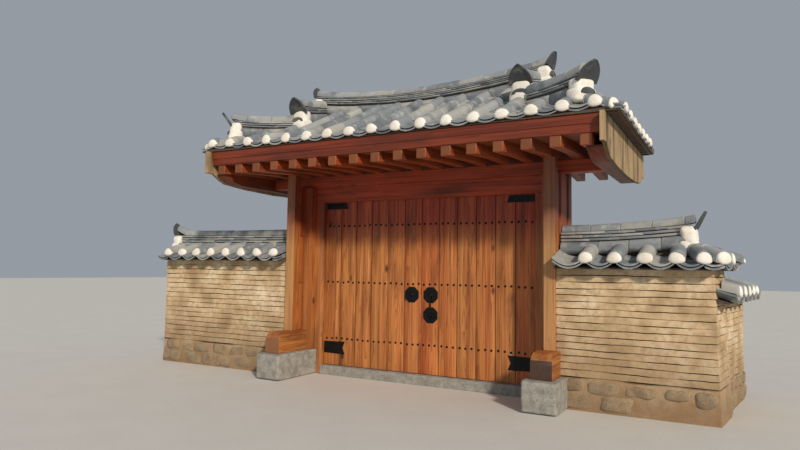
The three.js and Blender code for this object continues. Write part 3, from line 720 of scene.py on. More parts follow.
@dataclass(frozen=True)
class Path:
    """A straight line over the ground, with a height at each distance along it."""

    start: Pair
    end: Pair
    height: Callable[[Array], Array]

    @property
    def length(self) -> float:
        """The length over the ground."""
        return math.dist(self.start, self.end)

    def points(self, along: Array, across: Array, up: Array) -> Array:
        """Finds places beside the line.

        Args:
            along: Distances from the start.
            across: Distances to the right of the line.
            up: Heights above the line's own.

        Returns:
            The points, with x, y and z in a new last axis.
        """
        ahead = np.subtract(self.end, self.start) / self.length
        x = self.start[0] + ahead[0] * along + ahead[1] * across
        y = self.start[1] + ahead[1] * along - ahead[0] * across
        return packed(x, y, self.height(along) + up)

    @property
    def last_height(self) -> float:
        """The height at its end."""
        return float(self.height(np.array(self.length)))

    def cut(self, first: float, last: float = 0.0) -> Path:
        """Returns the line without its first and last stretches, or longer where they are below zero."""
        start, end = self.points(np.array([first, self.length - last]), 0.0, 0.0)[:, :2].tolist()
        return Path(tuple(start), tuple(end), lambda along: self.height(first + along))

    def level(self, height: float) -> Path:
        """Returns the line with the same height all along."""
        return Path(self.start, self.end, lambda along: np.full(np.shape(along), height))


def line_on(surface: Surface, foot: Sequence[float], head: Sequence[float]) -> Path:
    """Draws a straight line up a surface.

    Args:
        surface: What turns a place in plan into a point.
        foot: Where the line starts in plan.
        head: Where it ends in plan.

    Returns:
        The line, with the surface's height along it.
    """
    foot, head = np.asarray(foot, float), np.asarray(head, float)
    low, high = surface(foot), surface(head)
    length = math.dist(low[:2], high[:2])

    def height(along: Array) -> Array:
        """Returns the surface's height at distances along the line."""
        return surface(foot + (head - foot) * np.asarray(along)[..., None] / length)[..., 2]

    return Path((float(low[0]), float(low[1])), (float(high[0]), float(high[1])), height)


def course(path: Path, section: Array, tile: float, seed: int, groove: float = 0.01, shrink: float = 0.1,
           offset: float = 0.0) -> Shell:
    """Makes a row of tiles laid end to end.

    Formula: the section is carried along the path, and within a groove's width of each joint it shrinks
    towards its own foot. Each tile is a little out of line and has a tone of its own. Real joints are 3 mm
    wide, and are drawn wider so that they still show in the render.

    Args:
        path: The line that the row follows.
        section: The tile's outline, as across and up.
        tile: The length of a tile.
        seed: What makes the row differ from others.
        groove: The width of a joint on each side of it.
        shrink: How much smaller the section is in a joint.
        offset: Where the first joint is, as a share of a tile.

    Returns:
        The row of tiles.
    """
    rng = np.random.default_rng(seed)
    joints = np.arange(tile * offset, path.length - tile * 0.3, tile)
    edges = np.concatenate([[0.0], joints[joints > tile * 0.3], [path.length]])
    starts, ends = edges[:-1], edges[1:]
    along = packed(starts, starts + groove, ends - groove, ends).ravel()
    scale = np.tile([1 - shrink, 1, 1, 1 - shrink], len(starts))[:, None]
    stray = np.repeat(rng.uniform(-0.003, 0.003, (len(starts), 2)), 4, axis=0)
    across = section[:, 0] * scale + stray[:, :1]
    foot = section[:, 1].min()
    up = foot + (section[:, 1] - foot) * scale + stray[:, 1:]
    tone = np.repeat(rng.uniform(0, 1, len(starts)), 4)
    return loft(path.points(along[:, None], across, up), tone)


def dome(path: Path, radius: float, depth: float, back: float, up: float, seed: int) -> Shell:
    """Makes the plaster that closes a cover tile's end, which faces back along the path.

    Formula: half an ellipsoid with a straight rim behind it. Its lower half is flattened, and its outline
    is a little uneven.

    Args:
        path: The line of the row of tiles.
        radius: The radius of the rim.
        depth: How far it bulges.
        back: How far the rim lies behind the path's start.
        up: The height of its middle above the path.
        seed: What makes its outline differ from others.

    Returns:
        The closed dome.
    """
    swell = np.radians([0, 0, 30, 58, 80])[:, None]
    turn = circle(16)
    waver = 1 + 0.05 * np.sin(2 * turn + seed) + 0.03 * np.sin(3 * turn + 2.3 * seed)
    across = radius * np.cos(swell) * np.cos(turn) * waver
    rise = radius * np.cos(swell) * np.sin(turn) * waver
    rise = np.where(rise < 0, 0.55 * rise, rise)
    along = back - depth * np.sin(swell)
    along[0] += depth
    return loft(path.points(along, across, up + rise))


def pointed_plate(path: Path, wide: float, high: float, lean: float, up: float, seed: int) -> Shell:
    """Makes the pointed tile that stands on a ridge's end and leans outwards.

    Formula: at each height its half width follows a pointed arch, a power of what is left up to the tip
    that is a little below one. Its rim stands proud of a dished face.

    Args:
        path: The ridge's line, which ends at the plate.
        wide: Its width at the foot.
        high: Its height.
        lean: How far it leans out, in degrees.
        up: The height of its foot above the path.
        seed: What makes its tone differ from others.

    Returns:
        The closed plate.
    """
    thick, rim = 0.022, 0.007
    rise = np.linspace(0, 0.985, 12)[:, None]
    share = np.linspace(-1, 1, 11)[None, :]
    half = wide / 2 * (1 - rise**2.3) ** 0.82
    face = thick / 2 + rim * (np.abs(share) > 0.75)
    across = np.concatenate([half * share, half * share[:, ::-1]], axis=1)
    front = face * np.ones_like(rise)
    out = np.concatenate([front, np.full_like(front, -thick / 2)], axis=1)
    tall = high * rise * np.ones_like(across)
    angle = math.radians(lean)
    along = path.length - 0.01 + out * math.cos(angle) + tall * math.sin(angle)
    height = up + tall * math.cos(angle) - out * math.sin(angle)
    return loft(path.level(path.last_height).points(along, across, height), 0.15 + 0.2 * (seed % 3) / 2)


class Workshop:
    """Makes each finish's material once, and turns shells into pieces of the gatehouse."""

    def __init__(self) -> None:
        """Starts with no materials."""
        self._made: dict[str, bpy.types.Material] = {}

    def __getitem__(self, finish: Finish) -> bpy.types.Material:
        """Finds or makes the material of a finish.

        Args:
            finish: The finish.

        Returns:
            Its material.
        """
        if finish.name not in self._made:
            self._made[finish.name] = finish.material()
        return self._made[finish.name]

    def show(self, name: str, shell: Shell, finish: Finish, replaces: str = "", body: Body = Body.GATE,
             crease: float = 38.0) -> None:
        """Turns a shell into a piece.

        Args:
            name: The piece's name.
            shell: Its surfaces.
            finish: What it is made of.
            replaces: The solid that it stands for, if it stands for one.
            body: The body that it rides on.
            crease: Edges sharper than this many degrees stay sharp.
        """
        mesh = bpy.data.meshes.new(name)
        faces = len(shell.faces)
        mesh.vertices.add(len(shell.points))
        mesh.vertices.foreach_set("co", shell.points.astype(np.float32).ravel())
        mesh.loops.add(4 * faces)
        mesh.loops.foreach_set("vertex_index", shell.faces.astype(np.int32).ravel())
        mesh.polygons.add(faces)
        mesh.polygons.foreach_set("loop_start", np.arange(0, 4 * faces, 4, dtype=np.int32))
        mesh.polygons.foreach_set("use_smooth", np.ones(faces, bool))
        mesh.update(calc_edges=True)
        tone = mesh.attributes.new("tone", "FLOAT", "POINT")
        tone.data.foreach_set("value", shell.tone.astype(np.float32))
        grain = mesh.attributes.new("grain", "FLOAT_VECTOR", "POINT")
        grain.data.foreach_set("vector", shell.grain.astype(np.float32).ravel())
        mesh.set_sharp_from_angle(angle=math.radians(crease))
        mesh.materials.append(self[finish])
        piece = bpy.data.objects.new(name, mesh)
        bpy.context.scene.collection.objects.link(piece)
        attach(piece, body.value)
        if replaces:
            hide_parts(replaces)
        log.info("%s: %d faces", name, faces)


# Tiled slopes and ridges


@dataclass(frozen=True)
class Tiles:
    """The sizes of the two kinds of roof tile, and how rows of them are laid."""

    cover: float = 0.079
    cover_up: float = 0.028
    cover_start: float = 0.008
    skirt: float = 0.03
    tile: float = 0.30
    curl: float = 0.06
    thick: float = 0.018
    lap: float = 0.16
    step: float = 0.015
    joint: float = 0.002
    second: Triple = (0.004, 0.002, 0.2)
    full: float = 0.3
    bulge: float = 0.024

    def rows(self, lines: Sequence[tuple[Path, int, int]]) -> tuple[Shell, Shell]:
        """Makes rows of cover tiles, and the plaster that closes their ends at the eave.

        Args:
            lines: For each row its line from the eave up, what makes its tiles differ from others, and what
                makes its plaster differ.

        Returns:
            The tiles and the plaster.
        """
        section = half_round(self.cover, self.skirt) + [0, self.cover_up]
        covers = [course(line.cut(self.cover_start), section, self.tile, seed, shrink=0.14)
                  for line, seed, _ in lines]
        plaster = [dome(line, self.cover * 0.98, self.bulge, self.cover_start, self.cover_up - 0.004, seed)
                   for line, _, seed in lines]
        return joined(covers), joined(plaster)

    def shares(self) -> Array:
        """Returns where a channel tile's columns are, from 0 at its left side to 1 at its right side."""
        return np.linspace(0, 1, 11)

    def channel(self, foot: Array, head: Array, surface: Surface, seed: int, lowest: float = 0.5,
                sag: float = 0.0) -> Shell:
        """Makes a row of channel tiles, with a second layer of them at the eave.

        Formula: each column runs straight from its foot to its head. Across the columns the surface is a
        parabola, flatter where the row is narrow. Up the slope it drops by a step at each lap, like a saw.

        Args:
            foot: Where each column starts in plan.
            head: Where each column ends in plan.
            surface: What turns a place in plan into a point.
            seed: What makes the row differ from others.
            lowest: Where the parabola is lowest, from 0 at the left side to 1 at the right side.
            sag: How far it falls below the surface there.

        Returns:
            The row.
        """
        rng = np.random.default_rng(seed)
        half = max(lowest, 1 - lowest)
        narrow = min(1.0, 2 * half * float(np.linalg.norm(foot[-1] - foot[0])) / self.full)
        bow = (self.curl * narrow**2 + sag) * ((self.shares() - lowest) / half) ** 2 - sag
        run = np.maximum(np.linalg.norm(head - foot, axis=1), 0.02)
        set_back, below, reach = self.second
        shells = []
        for first, depth, last in ((0.0, 0.0, run), (set_back, self.thick + below, np.minimum(run, reach))):
            span = np.maximum(last - first, 0.01)
            laps = max(1, round(float(span.max()) / self.lap))
            starts = np.arange(laps) / laps
            rows = packed(starts, starts + 1 / laps - 1e-4).ravel()
            share = (first + rows[:, None] * span) / run
            upper = surface(foot + (head - foot) * share[..., None])
            lift = np.tile([self.step, 0.0], laps) * (depth == 0)
            upper[..., 2] += bow + lift[:, None] - depth
            lower = upper[:, ::-1] - [0, 0, self.thick]
            # painted shade: channel tiles take tones only from the darker part of the range, for the shade in
            # the troughs between cover rows
            tone = np.repeat(rng.uniform(0, 0.75, laps), 2)
            shells.append(loft(np.concatenate([upper, lower], axis=1), tone))
        return joined(shells)


class RidgeEnd(Enum):
    """How a ridge ends."""

    PLAIN = "plain"
    PLATE = "plate"


@dataclass(frozen=True)
class Ridge:
    """A ridge of tiles: a round band, thin flat layers and a row of cover tiles, from its foot to its crest.

    The path's height is the ridge's crest. Where it ends with a plate, the last cover tile turns up
    against a pointed tile, and white plaster with a piece of tile in it closes the layers.
    """

    name: str
    node: str
    path: Path
    root: Callable[[Array], Array]
    half: float = 0.105
    start: RidgeEnd = RidgeEnd.PLAIN
    end: RidgeEnd = RidgeEnd.PLATE
    layers: int = 3
    layer: float = 0.029
    cap: float = 0.105
    band: float = 0.15
    band_out: float = 0.97
    tile: float = 0.33
    plate_wide: float = 0.28
    plate_high: float = 0.247
    plate_lean: float = 36.0
    plate_foot: float = 0.185
    inlaid: bool = True
    flare: float = 0.03
    squareness: float = 3.8
    short: float = 0.045
    core_ends: Pair = (0.05, 0.01)
    core_half: float = 0.72
    layer_half: Pair = (0.88, 0.04)
    layer_joint: float = 0.011
    inlay: Pair = (0.05, 0.045)
    # Each block of plaster under a plate: the shares of the height where it starts and ends, how much broader
    # it is, and how far it reaches back and forward from the ridge's end.
    blocks: tuple[Numbers, ...] = ((0.25, 1.0, 0.0, 0.16, 0.03), (0.0, 0.6, 0.21, 0.18, 0.05))
    seed: int = 1

    def _ends(self) -> list[Path]:
        """Finds the plated ends.

        Returns:
            For each of them the path, turned so that it ends there.
        """
        turned = Path(self.path.end, self.path.start, lambda s: self.path.height(self.path.length - s))
        ends = ((self.path, self.end), (turned, self.start))
        return [path for path, end in ends if end is RidgeEnd.PLATE]

    def _crest(self, along: Array) -> Array:
        """Finds the height of the crest, which turns up in the last tile before a plate.

        Args:
            along: Distances from the start.

        Returns:
            The heights.
        """
        left = self.path.length - along
        out = np.clip(1 - left / self.tile, 0, None) ** 2 * (self.end is RidgeEnd.PLATE)
        back = np.clip(1 - along / self.tile, 0, None) ** 2 * (self.start is RidgeEnd.PLATE)
        return self.path.height(along) + self.flare * (out + back)

    def tiles(self) -> Shell:
        """Builds the band, the layers and the row of cover tiles.

        Returns:
            One shell of them all.
        """
        path = self.path if self.end is RidgeEnd.PLAIN else self.path.cut(0.0, self.short)
        crested = Path(self.path.start, self.path.end, self._crest)
        round_cap = half_round(self.cap * 0.8, self.cap * 0.2) + [0, -self.cap * 0.8]
        rows = [course(crested, round_cap, self.tile, self.seed, shrink=0.12)]
        half, wider = self.layer_half
        for number in range(self.layers):
            top = -self.cap - number * self.layer
            low = top - self.layer + self.layer_joint
            section = slab(self.half * (half + wider * number), low, top, 0.006)
            rows.append(course(path, section, self.tile, self.seed + 7 + number, shrink=0.05,
                               offset=0.5 + 0.25 * number))
        top = -self.cap - self.layers * self.layer
        low = top - self.band
        rows.append(course(path, slab(self.half * self.band_out, low, top, self.half * 0.55, 5), self.tile,
                           self.seed + 31, shrink=0.06, offset=0.3))
        return joined(rows)

    def core(self) -> Shell:
        """Builds the clay and mortar inside the ridge, down to the roof under it.

        Formula: a rectangle a little narrower than the layers, between the root and the cap.

        Returns:
            The core.
        """
        path = self.path
        plated, plain = self.core_ends
        first, last = (plated if end is RidgeEnd.PLATE else plain for end in (self.start, self.end))
        along = np.linspace(first, path.length - last, 9)[:, None]
        half = self.half * self.core_half
        across = np.array([-half, half, half, -half])
        crest = path.height(along) - self.cap * 0.9
        foot = self.root(along)
        up = np.concatenate([crest, crest, foot, foot], axis=1) - path.height(along)
        return loft(path.points(along, across, up))

    def plates(self) -> list[Shell]:
        """Builds the pointed tiles.

        Returns:
            One for each plated end.
        """
        return [pointed_plate(path, self.plate_wide, self.plate_high, self.plate_lean, -self.plate_foot,
                              self.seed + n) for n, path in enumerate(self._ends())]

    def plaster(self) -> list[Shell]:
        """Builds the plaster under each plate.

        Formula: an uneven rounded block for the body, and a wider low one where it meets the roof.

        Returns:
            The shells, none where the ridge ends plainly.
        """
        shells = []
        for path in self._ends():
            top = path.last_height - self.cap * 1.2 + self.flare * 0.3
            reach = path.length
            foot = float(self.root(np.array(reach if path is self.path else 0.0))) + 0.02
            broad = max(self.half * 1.24, self.half * self.band_out + 0.015)
            for first, last, wider, back, front in self.blocks:
                half = broad + self.half * wider
                block = boulder((reach - back, -half, foot + (top - foot) * first),
                                (reach + front, half, foot + (top - foot) * last),
                                self.squareness, 0.09, self.seed + 3, around=32, rings=19)
                points = path.level(0.0).points(*block.points.T)
                shells.append(Shell(points, block.faces[:, ::-1], block.tone, points))
        return shells

    def inlays(self) -> list[Shell]:
        """Builds the short piece of tile that is set in the plaster under each plate.

        Returns:
            One for each plated end.
        """
        shells = []
        back, front = self.inlay
        for path in self._ends() if self.inlaid else []:
            stub = path.cut(path.length - back, -front).level(path.last_height)
            top = -self.plate_foot - 0.06
            arch = half_round(self.half * 0.95, 0.012) * [1, 0.6] + [0, top - self.half * 0.57]
            shells.append(course(stub, arch, 0.2, self.seed + 5))
        return shells

    def build(self, shop: Workshop) -> None:
        """Makes the ridge's pieces.

        Args:
            shop: What makes the pieces.
        """
        shop.show(f"{self.name}_tiles", self.tiles(), FIRED_TILE, self.node)
        # The core's dark clay also stands as painted shade in the gaps between the ridge's layers.
        shop.show(f"{self.name}_core", self.core(), BED_CLAY_AND_PAINTED_SHADE)
        if self._ends():
            shop.show(f"{self.name}_end_tiles", joined([*self.plates(), *self.inlays()]), END_TILE)
            shop.show(f"{self.name}_plaster", joined(self.plaster()), LIME_PLASTER)


@dataclass(frozen=True)
class RoofShape:
    """The heights of the roof: two long slopes, and lower ones at the ends under two small gables."""

    half_x: float = 2.80
    half_y: float = 1.33
    gable: float = 1.72
    eave: float = 3.14
    under: float = 3.1003
    front: Pair = (0.56, 0.09)
    side: Pair = (0.25, 0.035)
    corner_lift: float = 0.045

    def _lift(self, x: Array, y: Array) -> Array:
        """Returns how far the eaves rise towards the corners."""
        return self.corner_lift * (x / self.half_x) ** 4 * (y / self.half_y) ** 2

    @staticmethod
    def _rise(share: Array, slope: Pair) -> Array:
        """Returns a slope's rise over the eave at a share of its run."""
        return slope[0] * share + slope[1] * share**2

    @staticmethod
    def _share(rise: Array, slope: Pair) -> Array:
        """Returns the share of a slope's run at which it has risen so far."""
        return (-slope[0] + np.sqrt(slope[0] ** 2 + 4 * slope[1] * np.clip(rise, 0, None))) / (2 * slope[1])

    def front_height(self, x: Array, y: Array) -> Array:
        """Returns the height of the front or rear slope."""
        return self.eave + self._rise(1 - np.abs(y) / self.half_y, self.front) + self._lift(x, y)

    def side_height(self, x: Array, y: Array) -> Array:
        """Returns the height of a side slope."""
        share = (self.half_x - np.abs(x)) / (self.half_x - self.gable)
        return self.eave + self._rise(share, self.side) + self._lift(x, y)

    def height(self, x: Array, y: Array) -> Array:
        """Returns the height of the roof, whichever slope is there."""
        front, side = self.front_height(x, y), self.side_height(x, y)
        return np.where(np.abs(x) > self.gable, np.minimum(front, side), front)

    def front_limit(self, x: Array) -> Array:
        """Finds how far the front slope runs in, up to the ridge or to the hip.

        Args:
            x: Places along its eave.

        Returns:
            The run at each place.
        """
        share = (self.half_x - np.abs(x)) / (self.half_x - self.gable)
        hip = self._share(self._rise(share, self.side), self.front) * self.half_y
        return np.where(np.abs(x) > self.gable, hip, self.half_y - 0.09)

    def side_limit(self, y: Array) -> Array:
        """Returns how far a side slope runs in at y, up to the gable or to the hip."""
        hip = self._share(self._rise(1 - np.abs(y) / self.half_y, self.front), self.side)
        return np.clip(hip, 0, 1) * (self.half_x - self.gable)

    def surface(self, side: Side | None = None) -> Surface:
        """Chooses the surface of one slope or of the whole roof.

        Args:
            side: The slope, or None for the whole roof.

        Returns:
            What turns a place in plan into a point.
        """
        heights = {Side.FRONT: self.front_height, Side.REAR: self.front_height, None: self.height}
        height = heights.get(side, self.side_height)

        def points(plan: Array) -> Array:
            """Returns the points over places in plan."""
            x, y = plan[..., 0], plan[..., 1]
            return packed(x, y, height(x, y))

        return points

    def columns(self, side: Side, across: Array) -> tuple[Array, Array]:
        """Finds the lines that run straight up a slope.

        Args:
            side: The slope.
            across: Where the lines are along its eave, from its middle.

        Returns:
            Where they start and where they end in plan.
        """
        out = np.array(side.value, float)
        along = np.array([-out[1], out[0]])
        reach = self.half_y if side.long else self.half_x
        run = self.front_limit(across) if side.long else self.side_limit(across)
        foot = across[:, None] * along + reach * out
        return foot, foot - run[:, None] * out


@dataclass(frozen=True)
class Roof:
    """The tiled roof: its bed, the rows of tiles on it, the plaster at the eaves, and the ridges."""

    shape: RoofShape = RoofShape()
    tiles: Tiles = Tiles()
    row: float = 0.3225
    rows_front: int = 17
    side_row: float = 0.32
    rows_side: int = 7
    front_shift: float = -0.028
    corner_cap: Pair = (2.738, 1.286)
    corner_sunk: Pair = (-0.06, 0.012)
    corner_sag: float = 0.03
    corner_short: Pair = (0.05, 0.03)
    hip_start: Pair = (1.69, 0.65)
    hip_end: Pair = (2.43, 1.13)
    hip_crest: Triple = (3.665, 3.643, 3.660)
    falling: tuple[Pair, ...] = ((1.60, 0.14), (1.60, 0.70))
    falling_crest: Triple = (3.99, 3.925, 3.86)
    sunk: float = 0.02
    strip: Pair = (0.035, 0.06)
    gable_half: float = 0.69
    gable_thick: float = 0.02
    gable_sunk: Pair = (0.02, 0.03)
    bed_inset: float = 0.012
    bed_deep: float = 0.04
    main_half: float = 1.76
    main_foot: float = 3.68
    main_crest: float = 4.043
    main_lift: float = 0.139

    def bed(self) -> Shell:
        """Builds the clay bed.

        Formula: the roof's own height less a little, over a grid, closed by a level underside.

        Returns:
            The bed.
        """
        shape, inset = self.shape, self.bed_inset
        side = np.linspace(shape.gable + 0.0005, shape.half_x - inset, 14)
        middle = np.linspace(-shape.gable, shape.gable, 24)
        x = np.concatenate([-side[::-1], middle, side])[:, None]
        y = np.linspace(-shape.half_y + inset, shape.half_y - inset, 41)[None, :]
        top = packed(x, y, shape.height(x, y) - self.bed_deep)
        return loft(np.concatenate([top, packed(x, y[:, ::-1], shape.under + 0.004)], axis=1))

    def _row_places(self, side: Side) -> Array:
        """Finds where the rows of cover tiles are.

        Args:
            side: The slope.

        Returns:
            Their places along its eave.
        """
        count, pitch = (self.rows_front, self.row) if side.long else (self.rows_side, self.side_row)
        shift = self.front_shift if side is Side.FRONT else 0.0
        return (np.arange(count) - (count - 1) / 2) * pitch + shift

    def _edges(self, side: Side) -> Array:
        """Returns where the rows of channel tiles meet along an eave, from corner to corner."""
        corner = self.shape.half_x if side.long else self.shape.half_y
        return np.concatenate([[-corner], self._row_places(side), [corner]])

    def covering(self) -> tuple[Shell, Shell, Shell]:
        """Builds the rows on all four slopes.

        Returns:
            The cover tiles, the channel tiles, and the plaster on the rows' ends.
        """
        lines, channels = [], []
        for number, side in enumerate(Side):
            surface = self.shape.surface(side)
            edges = self._edges(side)
            feet, heads = self.shape.columns(side, edges)
            for n in range(1, len(edges) - 1):
                seed = 100 * number + n
                lines.append((line_on(surface, feet[n], heads[n]), seed, seed))
            for n, (left, right) in enumerate(zip(edges[:-1], edges[1:])):
                near, far = left + self.tiles.joint, right - self.tiles.joint
                foot, head = self.shape.columns(side, near + (far - near) * self.tiles.shares())
                lowest = 0.0 if n == 0 else 1.0 if n == len(edges) - 2 else 0.5
                sag = 0.0 if lowest == 0.5 else self.corner_sag
                channels.append(self.tiles.channel(foot, head, surface, 100 * number + 50 + n, lowest, sag))
        for n, signs in enumerate(((1, 1), (1, -1), (-1, 1), (-1, -1))):
            lines.append((self._corner_path(signs), 77 + n, 5 + n))
        covers, plaster = self.tiles.rows(lines)
        return covers, joined(channels), plaster

    def _corner_path(self, signs: tuple[int, int]) -> Path:
        """Finds where the cover tile lies that runs from a corner in under its hip ridge.

        Args:
            signs: The signs of x and y at the corner.

        Returns:
            Its line.
        """
        end = np.subtract(self.hip_end, self.corner_short) * signs
        line = line_on(self.shape.surface(), np.multiply(signs, self.corner_cap), end)
        low, high = self.corner_sunk
        return Path(line.start, line.end, lambda s: line.height(s) + low + (high - low) * s / line.length)

    def scalloped_strips(self) -> Shell:
        """Builds the strips under the eave tiles, cut to fit them.

        Formula: the top edge follows the parabolas of the channel tiles and the bottom edge is level.

        Returns:
            The four strips.
        """
        strips = []
        for side in Side:
            edges = self._edges(side)
            corner = edges[-1] - self.strip[1]
            across = np.linspace(-corner, corner, 12 * len(edges))
            cell = np.clip(np.searchsorted(edges, across) - 1, 0, len(edges) - 2)
            lowest = (edges[:-1] + edges[1:]) / 2
            lowest[[0, -1]] = edges[[0, -1]]
            half = np.maximum(lowest - edges[:-1], edges[1:] - lowest)
            share = (across - lowest[cell]) / half[cell]
            sag = self.corner_sag * ((cell == 0) | (cell == len(edges) - 2))
            foot, _ = self.shape.columns(side, across)
            surface = self.shape.surface(side)
            tops, feet = [], []
            for run in self.strip:
                top = surface(foot - run * np.array(side.value))
                top[:, 2] += (self.tiles.curl + sag) * share**2 - sag - 2 * self.tiles.thick - 0.004
                tops.append(top)
                feet.append(packed(*top.T[:2], self.shape.under - 0.004))
            rings = np.stack([tops[0], tops[1], feet[1], feet[0]], axis=1)
            strips.append(loft(rings, 0.4, rings[..., [1, 2, 0]] if side.long else rings))
        return joined(strips)

    def gables(self) -> Shell:
        """Builds the plastered triangles under the ends of the main ridge.

        Formula: a thin wall whose top follows the long slopes and whose foot follows the side slopes.

        Returns:
            Both triangles.
        """
        shape = self.shape
        y = np.linspace(-self.gable_half, self.gable_half, 15)
        x = np.full(len(y), shape.gable)
        top = shape.front_height(x, y) - self.gable_sunk[0]
        foot = np.minimum(shape.side_height(x, y), top) - self.gable_sunk[1]
        near, far = shape.gable, shape.gable + self.gable_thick
        corners = ((near, top), (far, top), (far, foot), (near, foot))
        wall = loft(np.stack([packed(x, y, z) for x, z in corners], axis=1))
        return joined([wall, wall.mirrored(Axis.X)])

    def ridges(self) -> list[Ridge]:
        """Lists the main ridge, the four falling ridges and the four hip ridges.

        Returns:
            The nine ridges.
        """
        half = self.main_half

        def main_height(along: Array) -> Array:
            """Returns the main ridge's height, which rises towards both ends."""
            return self.main_crest + self.main_lift * ((along - half) / half) ** 2

        made = [Ridge("main_ridge", "main_ridge", Path((-half, 0), (half, 0), main_height),
                      lambda s: np.full(np.shape(s), self.main_foot), half=0.13, start=RidgeEnd.PLATE,
                      layers=4, layer=0.027, plate_high=0.2, plate_foot=0.116, plate_lean=20, band=0.16,
                      flare=0.02)]
        for depth, sign_y in (("front", -1), ("rear", 1)):
            for side, sign_x in (("right", 1), ("left", -1)):
                seed = sign_x + 2 * sign_y
                for kind, surface, start, end, crest, first in (
                    ("falling", self.shape.surface(Side.FRONT), *self.falling, self.falling_crest, 11),
                    ("hip", self.shape.surface(), self.hip_start, self.hip_end, self.hip_crest, 21),
                ):
                    ground = line_on(surface, np.multiply((sign_x, sign_y), start),
                                     np.multiply((sign_x, sign_y), end))
                    made.append(self._side_ridge(f"{depth}_{side}_{kind}_ridge", ground, crest, first + seed))
        return made

    def _side_ridge(self, name: str, ground: Path, crest: Triple, seed: int) -> Ridge:
        """Makes a ridge down the edge of a gable or out to a corner.

        Formula: its crest is a parabola through three heights, at its start, its middle and its end.

        Args:
            name: Its name and its node's.
            ground: The line of the roof under it.
            crest: The three heights.
            seed: What makes it differ from others.

        Returns:
            The ridge.
        """
        high, middle, low = crest

        def height(along: Array) -> Array:
            """Returns the crest's height at distances along the ridge."""
            share = along / ground.length
            return high * (1 - share) + low * share - (high + low - 2 * middle) * 2 * share * (1 - share)

        return Ridge(name, name, Path(ground.start, ground.end, height),
                     lambda along: ground.height(along) - self.sunk, flare=0.02, seed=seed)

    def build(self, shop: Workshop) -> None:
        """Makes the roof's pieces.

        Args:
            shop: What makes the pieces.
        """
        covers, channels, plaster = self.covering()
        shop.show("roof_bed", self.bed(), BED_CLAY_AND_PAINTED_SHADE, "tiled_roof")
        shop.show("roof_cover_tiles", covers, FIRED_TILE)
        shop.show("roof_channel_tiles", channels, FIRED_TILE)
        shop.show("eave_plaster", plaster, LIME_PLASTER, crease=ROUNDED)
        shop.show("scalloped_strips", self.scalloped_strips(), STRIP_PINE_PAINTED_SHADE)
        shop.show("small_gables", self.gables(), LIME_PLASTER)
        for ridge in self.ridges():
            ridge.build(shop)


# Walls


